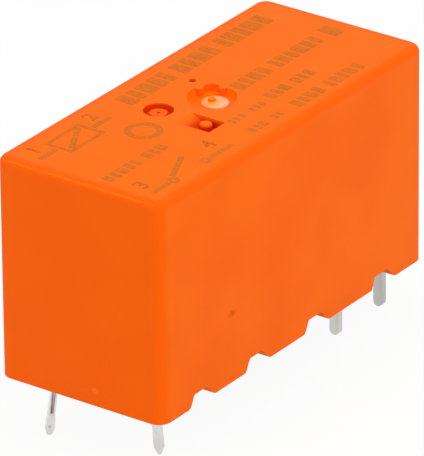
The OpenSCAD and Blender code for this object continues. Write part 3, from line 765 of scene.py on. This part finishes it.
def notchCutter(centre, leftRun):
    spec = coverSpec
    bottom, steps = spec["bottom"], spec["notchSteps"]
    below = bottom - spec["past"]
    flanks = ((spec["notchLeft"], leftRun, 0), (spec["notchRight"], spec["notchRun"], math.pi))
    outline = []
    for middle, run, turn in flanks:
        for k in range(steps + 1):  # one side is a soft S from the lower edge to the roof, or back down
            lift = ((1 - math.cos(math.pi * k / steps + turn)) / 2) ** spec["notchFoot"]
            outline.append((centre + middle + run * (2 * k / steps - 1), bottom + spec["notchHeight"] * lift))
    outline = [(outline[0][0], below)] + outline + [(outline[-1][0], below)]
    bm = bmesh.new()
    bm.faces.new([bm.verts.new((x * mm, -spec["width"] * mm, z * mm)) for x, z in outline])
    extrudeWhole(bm, (0, 2 * spec["width"], 0))
    return objectFrom(bm, "notchCutter")


def carveRing(cover, top):
    ring = coverMarks["ring"]
    cutter = roundCutter(ring["place"], ring["outer"], top - ring["depth"], top + coverSpec["past"])
    carve(cutter, roundCutter(ring["place"], ring["stud"], top - coverSpec["root"], top - ring["studDrop"]))
    carve(cover, cutter)
    carve(cover, roundCutter(ring["place"], ring["dot"], top - ring["depth"], top))


def carveDish(cover, top):
    dish = coverMarks["dish"]
    past, root = coverSpec["past"], top - coverSpec["root"]
    cutter = roundCutter(dish["place"], dish["radius"], top - dish["depth"], top, dish["floorRadius"])
    collar = roundCutter(dish["place"], dish["radius"], top - dish["lap"], top + past)
    lobe = roundCutter(dish["lobe"], dish["lobeRadius"], top - dish["lobeDepth"], top + dish["lobePast"])
    step = roundCutter(dish["step"], dish["stepRadius"], top - dish["stepDepth"], top, dish["stepFloor"])
    for more in (collar, lobe, step):
        carve(cutter, more, "UNION")
    carve(cutter, roundCutter(dish["place"], dish["pip"], root, top - dish["pipDrop"], None, dish["pipEdge"]))
    for place in dish["ribs"]:  # two small ribs on the wall
        carve(cutter, roundCutter(place, dish["rib"], root, top + 2 * past))
    carve(cover, cutter)


def carvePocket(cover, top):
    pocket = coverMarks["pocket"]
    x, y = pocket["place"]
    halfX, halfY = pocket["size"][0] / 2, pocket["size"][1] / 2
    floor, above = top - pocket["depth"], top + coverSpec["past"]
    bm = bmesh.new()
    profile = [(-halfY, above), (-halfY, floor), (-halfY + pocket["flat"], floor),
               (halfY, top - pocket["shallow"]), (halfY, above)]
    bm.faces.new([bm.verts.new(((x - halfX) * mm, (y + across) * mm, z * mm)) for across, z in profile])
    extrudeWhole(bm, (2 * halfX, 0, 0))
    cutter = objectFrom(bm, "pocketCutter")
    stub = roundCutter(stubPlace(), pocket["stub"], top - coverSpec["root"], top - pocket["stubDrop"], None,
                       pocket["stubEdge"])
    carve(cutter, stub)
    carve(cover, cutter)


def buildCover():
    spec = coverSpec
    top = spec["rimTop"]
    cover = roundedBox((spec["length"], spec["width"]), spec["bottom"], spec["top"], spec["cornerRadius"],
                       spec["rimRadius"])
    cover.name = "orangeCover"
    carve(cover, ballAt(coverMarks["bump"]["place"], coverMarks["bump"]["radius"]), "UNION")
    inner = (spec["length"] - 2 * spec["wall"], spec["width"] - 2 * spec["wall"])
    carve(cover, roundedBox(inner, spec["bottom"] - spec["past"], spec["innerTop"], spec["innerRadius"]))
    for notch in spec["notches"]:
        carve(cover, notchCutter(*notch))
    carveRing(cover, top)
    carveDish(cover, top)
    carvePocket(cover, top)
    hole = coverMarks["hole"]
    carve(cover, roundCutter(hole["place"], hole["radius"], top - hole["depth"], top + spec["past"]))
    carve(cover, ballAt(coverMarks["pit"]["place"], coverMarks["pit"]["radius"]))
    softEdges(cover, spec["edge"])
    standFor(cover, "cover")
    print("cover carved:", len(cover.data.polygons), "faces before soft edges")


# drop of resin that seals the vent

dropSpec = {
    "place": (0.39, 0.06),    # a little off the pip
    "floor": 15.2,
    "radius": 0.925,
    "height": 0.22,
    "rings": 10,
    "steps": 72,
    "glow": (0.08, 0.20, 15.3),  # middle of the amber patch round the pip
    "glowRadius": 0.42,
    "glowFade": 0.36,
    "glowStrength": 0.95,
    "bulge": 0.8,             # below 1, the dome is fuller than a round one
    "pale": ((0.86, 0.39, 0.15), (0.93, 0.53, 0.27)),
    "amber": (1.0, 0.31, 0.014),
    "surface": {"grain": 5000.0, "flow": 900.0, "roughness": (0.14, 0.24), "specular": 0.35,
                "bump": (0.15, 0.02)},
}


def dropMaterial():
    spec = dropSpec
    material, tree, principled, vector = newMaterial("paleDrop")
    mould, _ = mouldSurface(tree, principled, vector, spec["surface"])
    amber = nearMask(tree, vector, spec["glow"], spec["glowRadius"], spec["glowFade"], spec["glowStrength"])
    color = mixColor(tree, amber, mixColor(tree, mould["Tone"], *spec["pale"]), spec["amber"])
    tree.links.new(color, principled.inputs["Base Color"])
    return material


def buildDrop():
    spec = dropSpec
    axis = Vector((*spec["place"], 0)) * mm
    outline = []
    for k in range(spec["rings"] + 1):
        turn = math.pi / 2 * k / spec["rings"]
        lift = spec["height"] * math.cos(turn) ** spec["bulge"]
        outline.append(axis + Vector((spec["radius"] * math.sin(turn), 0, spec["floor"] + lift)) * mm)
    bm = spinAround(outline, axis, (0, 0, 1), spec["steps"])
    bmesh.ops.edgeloop_fill(bm, edges=[e for e in bm.edges if e.is_boundary])
    bmesh.ops.recalc_face_normals(bm, faces=bm.faces)
    drop = objectFrom(bm, "ventDrop")
    smoothFaces(drop)
    standFor(drop, "vent_seal")
    print("vent drop spun")


# ink on the top: plain blocks in rows, a ring and a simple connection diagram with pin numbers

inkSpec = {
    "low": 15.688,
    "high": 15.697,
    "widths": (0.62, 0.48, 0.70, 0.55, 0.44),  # of the blocks in turn, as shares of their height
    "gap": 0.20,
    "wordGap": 0.55,
    "corner": 0.12,
    "cornerSteps": 3,
    "cornerShare": 0.4,      # most of a block's small side that a corner takes
    # first x, middle y, height of the blocks, blocks in each word
    "rows": (
        (-3.7, 4.30, 1.50, (5, 4, 5)),
        (2.1, -0.30, 1.20, (4, 6)),
        (12.1, -0.35, 1.60, (1,)),
        (-13.4, -1.50, 0.90, (5, 3)),
        (-2.3, -3.00, 0.60, (3, 3)),
        (2.1, -2.80, 0.95, (3, 3)),
        (-2.6, -4.75, 0.70, (3, 2)),
        (2.1, -4.80, 1.00, (4, 5)),
    ),
    "stroke": 0.40,
    # straight lines of the diagram: start and end
    "lines": (
        ((-13.3, 3.7), (-11.5, 3.7)), ((-7.7, 3.7), (-5.9, 3.7)), ((-10.9, 3.0), (-8.3, 4.4)),
        ((-13.3, -4.9), (-11.5, -4.9)), ((-10.6, -4.5), (-7.9, -3.3)), ((-7.1, -4.9), (-4.8, -4.9)),
    ),
    "frames": (((-9.6, 3.7), (3.6, 2.2)),),  # middle and size
    "ringSteps": 48,
    # place, outer radius and inner radius
    "rings": (((-11.0, -4.9), 0.42, 0.14), ((-7.6, -4.9), 0.42, 0.14), ((-6.3, 0.80), 1.25, 0.78)),
    # plain pin numbers: figure, place, height
    "numbers": (("1", (-12.5, 4.7), 1.5), ("2", (-6.6, 4.7), 1.5), ("3", (-12.7, -3.7), 1.5),
                ("4", (-5.6, -3.7), 1.5)),
    "bold": 0.035,           # by which the numbers are thickened
    "ink": ((0.50, 0.140, 0.008), (0.64, 0.148, 0.008)),
    # colour where the ink is rubbed thin
    "wearAndGlint": (0.86, 0.142, 0.004),
    "wear": (0.30, 0.85, 0.0, 0.75),  # grain between which the ink wears, and how much
    "surface": {"grain": 4200.0, "flow": 900.0, "roughness": (0.5, 0.65), "specular": 0.07,
                "bump": (0.08, 0.006)},
}


def inkMaterial():
    spec = inkSpec
    material, tree, principled, vector = newMaterial("brownInk")
    mould, _ = mouldSurface(tree, principled, vector, spec["surface"])
    wearAndGlint = rangeNode(tree, mould["Sheen"], *spec["wear"])
    color = mixColor(tree, wearAndGlint, mixColor(tree, mould["Tone"], *spec["ink"]), spec["wearAndGlint"])
    tree.links.new(color, principled.inputs["Base Color"])
    return material


def inkPatch(bm, place, size, turn=0.0):
    width, height = size
    spot = Matrix.Translation(Vector((*place, inkSpec["low"])) * mm) @ Matrix.Rotation(turn, 4, "Z")
    return bmesh.ops.create_grid(bm, x_segments=1, y_segments=1, size=0.5,
                                 matrix=spot @ Matrix.Diagonal((width * mm, height * mm, 1, 1)))["verts"]


def inkBlock(bm, place, size):
    corner = min(inkSpec["corner"], inkSpec["cornerShare"] * min(size))
    roundOff(bm, inkPatch(bm, place, size), corner, inkSpec["cornerSteps"], "VERTICES")


def openMiddle(bm, verts, border):
    face = verts[0].link_faces[0]
    bmesh.ops.inset_region(bm, faces=[face], use_boundary=True, thickness=border * mm)
    bmesh.ops.delete(bm, geom=[face], context="FACES_ONLY")


def inkRows(bm):
    spec = inkSpec
    for x, y, height, words in spec["rows"]:
        count = 0
        for blocks in words:
            for _ in range(blocks):
                width = spec["widths"][count % len(spec["widths"])] * height
                inkBlock(bm, (x + width / 2, y), (width, height))
                x += width + spec["gap"]
                count += 1
            x += spec["wordGap"]


def inkDiagram(bm):
    spec = inkSpec
    for start, end in spec["lines"]:
        run = Vector(end) - Vector(start)
        middle = (Vector(start) + Vector(end)) / 2
        inkPatch(bm, middle, (run.length, spec["stroke"]), math.atan2(run.y, run.x))
    for place, size in spec["frames"]:
        openMiddle(bm, inkPatch(bm, place, size), spec["stroke"])
    for place, outer, inner in spec["rings"]:
        spot = Matrix.Translation(Vector((*place, spec["low"])) * mm)
        disc = bmesh.ops.create_circle(bm, segments=spec["ringSteps"], radius=outer * mm, cap_ends=True,
                                       matrix=spot)
        openMiddle(bm, disc["verts"], outer - inner)


def inkNumbers(bm):
    for figure, place, height in inkSpec["numbers"]:
        curve = bpy.data.curves.new("pinNumber", "FONT")
        curve.body = figure
        curve.size = height * mm
        curve.offset = inkSpec["bold"] * mm
        curve.align_x = "CENTER"
        curve.align_y = "CENTER"
        mesh = meshFromCurve(curve)
        mesh.transform(Matrix.Translation(Vector((*place, inkSpec["low"])) * mm))
        bm.from_mesh(mesh)
        bpy.data.meshes.remove(mesh)


def buildInk():
    bm = bmesh.new()
    inkRows(bm)
    inkDiagram(bm)
    inkNumbers(bm)
    bmesh.ops.remove_doubles(bm, verts=bm.verts, dist=fineWeld)
    extrudeWhole(bm, (0, 0, inkSpec["high"] - inkSpec["low"]))
    ink = objectFrom(bm, "topInk")
    finishPiece(ink, "cover", inkMaterial())
    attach(ink, bodyOf["cover"])
    print("ink laid:", len(ink.data.polygons), "faces")


# poured resin under the base, drawn up a little at walls, pins and feet

resinSpec = {
    "half": (13.57, 5.42),
    "corner": 0.4,
    "low": 1.35,
    "high": 1.65,
    "cells": (180, 72),
    "climb": 0.11,
    "reach": 0.28,
    # place and radius of what stands in the resin
    "posts": ((-11.8, 3.75, 0.28), (-11.8, -3.75, 0.28), (8.2, -3.75, 0.36), (13.2, -3.75, 0.36),
              (-7.1, 4.5, 0.8), (-7.1, -4.5, 0.8), (6.15, 4.5, 0.8), (6.15, -4.5, 0.8)),
    "tones": ((0.006, 0.0055, 0.0055), (0.017, 0.015, 0.014)),
    "dust": (0.05, 0.047, 0.044),
    "specks": {"Scale": 700.0, "Size": 0.16},
    "surface": {"grain": 2600.0, "flow": 220.0, "roughness": (0.12, 0.26), "specular": 0.5,
                "bump": (0.25, 0.03)},
}


def resinMaterial():
    spec = resinSpec
    material, tree, principled, vector = newMaterial("pouredResin")
    mould, _ = mouldSurface(tree, principled, vector, spec["surface"], "Tone")
    dots = useGroup(tree, fineSpecks, vector, **spec["specks"])
    color = mixColor(tree, dots["Mask"], mixColor(tree, mould["Tone"], *spec["tones"]), spec["dust"])
    tree.links.new(color, principled.inputs["Base Color"])
    return material


def buildResin():
    spec = resinSpec
    half = Vector(spec["half"])
    straight = half - Vector((spec["corner"], spec["corner"]))
    bm = bmesh.new()
    bmesh.ops.create_grid(bm, x_segments=spec["cells"][0], y_segments=spec["cells"][1], size=1)
    for vert in bm.verts:
        place = vert.co.xy * half
        over = Vector((max(abs(place.x) - straight.x, 0), max(abs(place.y) - straight.y, 0)))
        gap = min(half.x - abs(place.x), half.y - abs(place.y))
        if over.x and over.y:  # round the corners of the sheet
            if over.length > spec["corner"]:
                over *= spec["corner"] / over.length
            place = Vector((math.copysign(straight.x + over.x, place.x),
                            math.copysign(straight.y + over.y, place.y)))
            gap = spec["corner"] - over.length
        gaps = [gap] + [(place - Vector((x, y))).length - radius for x, y, radius in spec["posts"]]
        climb = spec["climb"] * math.exp(-max(min(gaps), 0) / spec["reach"])
        vert.co = Vector((*place, spec["low"] - climb)) * mm
    for vert in newVerts(bmesh.ops.extrude_face_region(bm, geom=bm.faces[:])):
        vert.co.z = spec["high"] * mm
    bmesh.ops.recalc_face_normals(bm, faces=bm.faces)
    resin = objectFrom(bm, "pouredResin")
    smoothFaces(resin)
    standFor(resin, "sealing_resin")
    print("resin poured")


# square coil pins, bent below the resin

coilPinSpec = {
    "x": -11.8,
    "y": 3.75,
    "side": 0.5,
    "top": 6.85,
    "bendZ": 1.25,
    "bendLength": 0.6,
    "bendSteps": 6,
    "edge": 0.05,
    "swellRun": 0.3,
    # lengths below the bend; the swell is the thicker solder coat on the lower end
    "pins": {
        "coilPinLeft": {"node": "coil_pin_left", "side": 1, "leanEnd": 16, "leanFar": -3, "twist": 36,
                        "length": 5.01, "point": 0.40, "tip": 0.30, "swell": 1.18, "swellFrom": 3.75},
        "coilPinRight": {"node": "coil_pin_right", "side": -1, "leanEnd": 0, "leanFar": -5, "twist": 0,
                         "length": 4.55, "point": 0.50, "tip": 0.18, "swell": 1.04, "swellFrom": 3.0},
    },
    # score along the left pin's face and a dent near its tip
    "score": {"across": -0.03, "width": 0.14, "depth": 0.16, "from": 0.9, "to": 3.6, "lap": 0.01,
              "darkRadius": 0.07, "darkFade": 0.06},
    "dent": {"across": 0.02, "radius": 0.105, "sink": 0.05, "down": 4.42},
    "scoreShade": (0.17, 0.16, 0.15),  # painted shade in the score
    "solder": ("dippedSolder", (0.65, 0.642, 0.63), (0.74, 0.732, 0.72), (0.42, 0.28), (1, 1, 0.1), 0.02),
}


def pinFrame(pin):
    spec = coilPinSpec
    lean = Matrix.Rotation(math.radians(pin["leanEnd"]), 3, "Y")
    lean = lean @ Matrix.Rotation(math.radians(pin["leanFar"]), 3, "X")
    lean = lean @ Matrix.Rotation(math.radians(pin["twist"]), 3, "Z")
    return Vector((spec["x"], pin["side"] * spec["y"], spec["bendZ"])), lean.to_quaternion()


def pinPath(pin):
    spec = coilPinSpec
    bend, lean = pinFrame(pin)
    down = lean @ Vector((0, 0, -1))
    reach = spec["bendLength"] / 2
    path = []  # place of the pin's end, share of its turn, its size
    for k in range(1, spec["bendSteps"] + 1):
        t = k / spec["bendSteps"]
        path.append((bend + Vector((0, 0, reach)) * (1 - t) ** 2 + down * reach * t ** 2, t, 1))
    path.append((bend + down * pin["swellFrom"], 1, 1))
    path.append((bend + down * (pin["swellFrom"] + spec["swellRun"]), 1, pin["swell"]))
    path.append((bend + down * (pin["length"] - pin["point"]), 1, pin["swell"]))
    path.append((bend + down * pin["length"], 1, pin["tip"] / spec["side"]))
    return path


def buildCoilPin(name, pin):
    spec = coilPinSpec
    bend, lean = pinFrame(pin)
    centre = bend + Vector((0, 0, spec["bendLength"] / 2))
    stem = spec["top"] - centre.z
    bm = boxAt((spec["side"], spec["side"], stem), centre + Vector((0, 0, stem / 2)))
    end = min(bm.faces, key=lambda face: face.calc_center_median().z)
    done, size = Quaternion(), 1
    for place, share, newSize in pinPath(pin):
        end = bmesh.ops.extrude_discrete_faces(bm, faces=[end])["faces"][0]
        turn = Quaternion().slerp(lean, share)
        bmesh.ops.translate(bm, verts=end.verts, vec=(place - centre) * mm)
        bmesh.ops.rotate(bm, verts=end.verts, cent=place * mm, matrix=(turn @ done.inverted()).to_matrix())
        bmesh.ops.scale(bm, verts=end.verts, vec=[newSize / size] * 3, space=Matrix.Translation(-place * mm))
        centre, done, size = place, turn, newSize
    bmesh.ops.recalc_face_normals(bm, faces=bm.faces)
    return objectFrom(bm, name)


def scorePin(piece, pin):
    spec = coilPinSpec
    score, dent = spec["score"], spec["dent"]
    bend, lean = pinFrame(pin)
    face = -spec["side"] / 2
    half = score["width"] / 2
    outside = face - score["lap"]
    outline = [(outside, score["across"] - half), (outside, score["across"] + half),
               (face + score["depth"], score["across"])]
    bm = bmesh.new()
    bm.faces.new([bm.verts.new(Vector((x, y, -score["to"])) * mm) for x, y in outline])
    extrudeWhole(bm, (0, 0, score["to"] - score["from"]))
    spot = Matrix.Translation(bend * mm) @ lean.to_matrix().to_4x4()
    bmesh.ops.transform(bm, matrix=spot, verts=bm.verts)
    carve(piece, objectFrom(bm, "scoreCutter"))
    dentPlace = bend + lean @ Vector((face * pin["swell"] + dent["sink"], dent["across"], -dent["down"]))
    carve(piece, ballAt(dentPlace, dent["radius"]))
    smoothFaces(piece)
    piece.data.set_sharp_from_angle(angle=crease)


# painted shade along the score on the left pin's face
def darkenScore(material):
    score = coilPinSpec["score"]
    bend, lean = pinFrame(coilPinSpec["pins"]["coilPinLeft"])
    start = bend + lean @ Vector((-coilPinSpec["side"] / 2, score["across"], -score["from"]))
    tree = material.node_tree
    color = tree.nodes["Principled BSDF"].inputs["Base Color"]
    vector = tree.nodes["Texture Coordinate"].outputs["Object"]
    mask = lineMask(tree, vector, start, lean @ Vector((0, 0, -1)), score["to"] - score["from"],
                    score["darkRadius"], score["darkFade"])
    tree.links.new(mixColor(tree, mask, color.links[0].from_socket, coilPinSpec["scoreShade"]), color)


def buildCoilPins():
    solder = metalMaterial(*coilPinSpec["solder"])
    darkenScore(solder)
    for name, pin in coilPinSpec["pins"].items():
        piece = buildCoilPin(name, pin)
        softEdges(piece, coilPinSpec["edge"])
        if name == "coilPinLeft":
            scorePin(piece, pin)
        standFor(piece, pin["node"], solder)
    print("coil pins bent")


# coil: ridged winding and its two leads

windingSpec = {
    "start": -9.2,
    "end": 1.8,
    "axisZ": 8.65,
    "bore": 2.63,
    "radius": 4.25,
    "turns": 52,
    "ridge": 0.06,
    "pointsPerTurn": 4,
    "steps": 64,
}


def buildWinding():
    spec = windingSpec
    count = spec["turns"] * spec["pointsPerTurn"]
    pitch = (spec["end"] - spec["start"]) / count
    profile = [(spec["start"], spec["bore"])]
    for k in range(count + 1):
        lift = abs(math.sin(math.pi * k / spec["pointsPerTurn"]))
        profile.append((spec["start"] + k * pitch, spec["radius"] - spec["ridge"] * (1 - lift)))
    profile.append((spec["end"], spec["bore"]))
    places = [Vector((x, 0, spec["axisZ"] + r)) * mm for x, r in profile]
    bm = spinAround(places, (0, 0, spec["axisZ"] * mm), (1, 0, 0), spec["steps"], True)
    bmesh.ops.recalc_face_normals(bm, faces=bm.faces)
    coil = objectFrom(bm, "copperWinding")
    smoothFaces(coil)
    standFor(coil, "winding")
    print("winding spun:", len(coil.data.polygons), "faces")


leadSpec = {
    "leadY": 3.2,
    "z": 6.151,
    "wire": 0.15,
    "wrapRadius": 0.40,
    "wraps": 3,
    "rise": 0.25,
    "end": -9.2,
    "pointsPerWrap": 16,
    "sides": {"leadWrapLeft": ("coil_lead_left", 1), "leadWrapRight": ("coil_lead_right", -1)},
}


def buildLead(name, node, side):
    spec = leadSpec
    curve = bpy.data.curves.new(name, "CURVE")
    curve.dimensions = "3D"
    curve.bevel_depth = spec["wire"] / 2 * mm
    curve.bevel_resolution = 3
    curve.use_fill_caps = True
    pinX, pinY = coilPinSpec["x"], coilPinSpec["y"]
    total = spec["wraps"] * spec["pointsPerWrap"]
    points = [(spec["end"], side * spec["leadY"], spec["z"])]
    for k in range(total + 1):
        angle = math.tau * k / spec["pointsPerWrap"]
        points.append((pinX + spec["wrapRadius"] * math.sin(angle),
                       side * (pinY - spec["wrapRadius"] * math.cos(angle)),
                       spec["z"] - spec["rise"] + 2 * spec["rise"] * k / total))
    line = curve.splines.new("POLY")
    line.points.add(len(points) - 1)
    for point, place in zip(line.points, points):
        point.co = (*(Vector(place) * mm), 1)
    mesh = meshFromCurve(curve)
    bm = bmesh.new()
    bm.from_mesh(mesh)
    bpy.data.meshes.remove(mesh)
    bmesh.ops.remove_doubles(bm, verts=bm.verts, dist=weld)
    bmesh.ops.recalc_face_normals(bm, faces=bm.faces)
    lead = objectFrom(bm, name)
    smoothFaces(lead)
    standFor(lead, node)


def buildLeads():
    for name, values in leadSpec["sides"].items():
        buildLead(name, *values)
    print("leads wrapped")


# contact spring, which bends between its rivets and its contact

bladeSpec = {
    "flex": (8.575, 6.0),
    "openAngle": 6.867,
    "offset": 2.0,
    "footX": 8.575,
    "foot": 3.1,
    "bendZ": 8.6,
    "top": 13.4,
    "width": 5.5,
    "thickness": 0.25,
    "cell": 0.3,
    "slotWidth": 1.8,
    "slotZ": (6.45, 8.15),
    "rivetZ": 4.3,
    "rivetY": 1.5,
    "rivetHole": 0.53,
    "contactZ": 10.6,
    "contactHole": 0.83,
    "holeSteps": 48,
    "cutLength": 2,           # of the holes' cutters
    "slotCut": 4,
    "edge": 0.03,
    # the spring bends between these two places
    "bendStart": (8.575, 0, 5.3),
    "bendEnd": (9.1, 0, 7.2),
}


def openedPoint(x, z):
    flexX, flexZ = bladeSpec["flex"]
    angle = math.radians(bladeSpec["openAngle"])
    across, up = x - flexX, z - flexZ
    return Vector((flexX + across * math.cos(angle) - up * math.sin(angle), 0,
                   flexZ + across * math.sin(angle) + up * math.cos(angle)))


def holeCutter(place, direction, radius):
    spec = bladeSpec
    bm = bmesh.new()
    bmesh.ops.create_cone(bm, cap_ends=True, segments=spec["holeSteps"], radius1=radius * mm,
                          radius2=radius * mm, depth=spec["cutLength"] * mm)
    turn = Vector(direction).to_track_quat("Z", "Y").to_matrix().to_4x4()
    bmesh.ops.transform(bm, matrix=Matrix.Translation(Vector(place) * mm) @ turn, verts=bm.verts)
    return objectFrom(bm, "holeCutter")


def slotCutter(spec):
    low, high = spec["slotZ"]
    size = (spec["slotCut"], spec["slotWidth"], high - low)
    return objectFrom(boxAt(size, (spec["flex"][0], 0, (low + high) / 2)), "slotCutter")


def buildBlade():
    spec = bladeSpec
    bladeX = spec["flex"][0] + spec["offset"]
    corners = [Vector((spec["footX"], 0, spec["foot"])), Vector((spec["footX"], 0, spec["flex"][1])),
               openedPoint(bladeX, spec["bendZ"]), openedPoint(bladeX, spec["top"])]
    bm = bmesh.new()
    row = []
    for start, end in zip(corners, corners[1:]):
        count = max(2, round((end - start).length / spec["cell"]))
        row += [bm.verts.new(start.lerp(end, k / count) * mm) for k in range(count)]
    row.append(bm.verts.new(corners[-1] * mm))
    line = [bm.edges.new(pair) for pair in zip(row, row[1:])]
    bmesh.ops.translate(bm, verts=row, vec=(0, -spec["width"] / 2 * mm, 0))
    moved = newVerts(bmesh.ops.extrude_edge_only(bm, edges=line))
    bmesh.ops.translate(bm, verts=moved, vec=(0, spec["width"] * mm, 0))
    bmesh.ops.recalc_face_normals(bm, faces=bm.faces)
    bmesh.ops.solidify(bm, geom=bm.faces[:], thickness=spec["thickness"] * mm)
    bmesh.ops.recalc_face_normals(bm, faces=bm.faces)
    blade = objectFrom(bm, "contactBlade")
    carve(blade, slotCutter(spec))
    for side in (-1, 1):
        rivet = (spec["footX"], side * spec["rivetY"], spec["rivetZ"])
        carve(blade, holeCutter(rivet, (1, 0, 0), spec["rivetHole"]))
    angle = math.radians(spec["openAngle"])
    contact = openedPoint(bladeX, spec["contactZ"])
    carve(blade, holeCutter(contact, (math.cos(angle), 0, math.sin(angle)), spec["contactHole"]))
    softEdges(blade, spec["edge"], 2)
    finishPiece(blade, "contact_spring")
    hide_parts("contact_spring")
    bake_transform(blade)
    print("contact spring bent")


# stamped, pressed and moulded pieces: the solids with soft edges

softSpec = {
    # piece: node, radius of its edges
    "mouldedBase": ("base", 0.08),
    "coilBobbin": ("bobbin", 0.08),
    "ironCore": ("core", 0.10),
    "bentYoke": ("yoke", 0.06),
    "bowedSpring": ("hinge_spring", 0.03),
    "springTerminal": ("spring_terminal", 0.05),
    "springRivets": ("spring_rivets", 0.12),
    "fixedTerminal": ("fixed_terminal", 0.05),
    "fixedContact": ("fixed_contact", 0.07),
    "hingedArmature": ("armature", 0.06),
    "slidingCard": ("actuator_card", 0.08),
    "movingContact": ("moving_contact", 0.07),
}
# painted shade: a darker copy of the pins' tin for the fixed terminal, whose pin lies partly in a notch's
# shadow
shadedTin = ("shadedTin", (0.455, 0.441, 0.403), (0.525, 0.510, 0.471), (0.44, 0.30), (1, 1, 0.03), 0.03)
flatAngle = math.radians(0.5)  # flatter edges between the solids' faces are dissolved


def buildSoftPieces():
    shadedTinFinish = metalMaterial(*shadedTin)
    for name, (node, edge) in softSpec.items():
        bm = bmesh.new()
        bm.from_mesh(nodes[node].data)
        bmesh.ops.remove_doubles(bm, verts=bm.verts, dist=fineWeld)
        bmesh.ops.dissolve_limit(bm, angle_limit=flatAngle, verts=bm.verts, edges=bm.edges)
        piece = objectFrom(bm, name)
        softEdges(piece, edge, 2)
        # painted shade: the fixed terminal gets the darker copy of the tin
        standFor(piece, node, shadedTinFinish if name == "fixedTerminal" else None)
    print("soft edges put on", len(softSpec), "pieces")


# finishes by the record's slots

def makeFinishes():
    made = {"cover_plastic": coverMaterial(), "seal_resin": dropMaterial(), "potting_resin": resinMaterial()}
    for slot, values in plasticFinishes.items():
        made[slot] = plasticMaterial(*values)
    for slot, values in metalFinishes.items():
        made[slot] = metalMaterial(*values)
    return made


def dressSolids():
    for node, slot in slotOf.items():
        solid = nodes[node]
        solid.data.materials.clear()
        solid.data.materials.append(finishes[slot])
    print("solids dressed:", len(finishes), "finishes")


makeCamera()
makeWorld()
makeLamps()
makeFloor()
print("studio ready")
finishes = makeFinishes()
dressSolids()
buildCover()
buildDrop()
buildInk()
buildResin()
buildCoilPins()
buildWinding()
buildLeads()
buildBlade()
buildSoftPieces()

scene = bpy.context.scene
scene.view_settings.view_transform = "Standard"
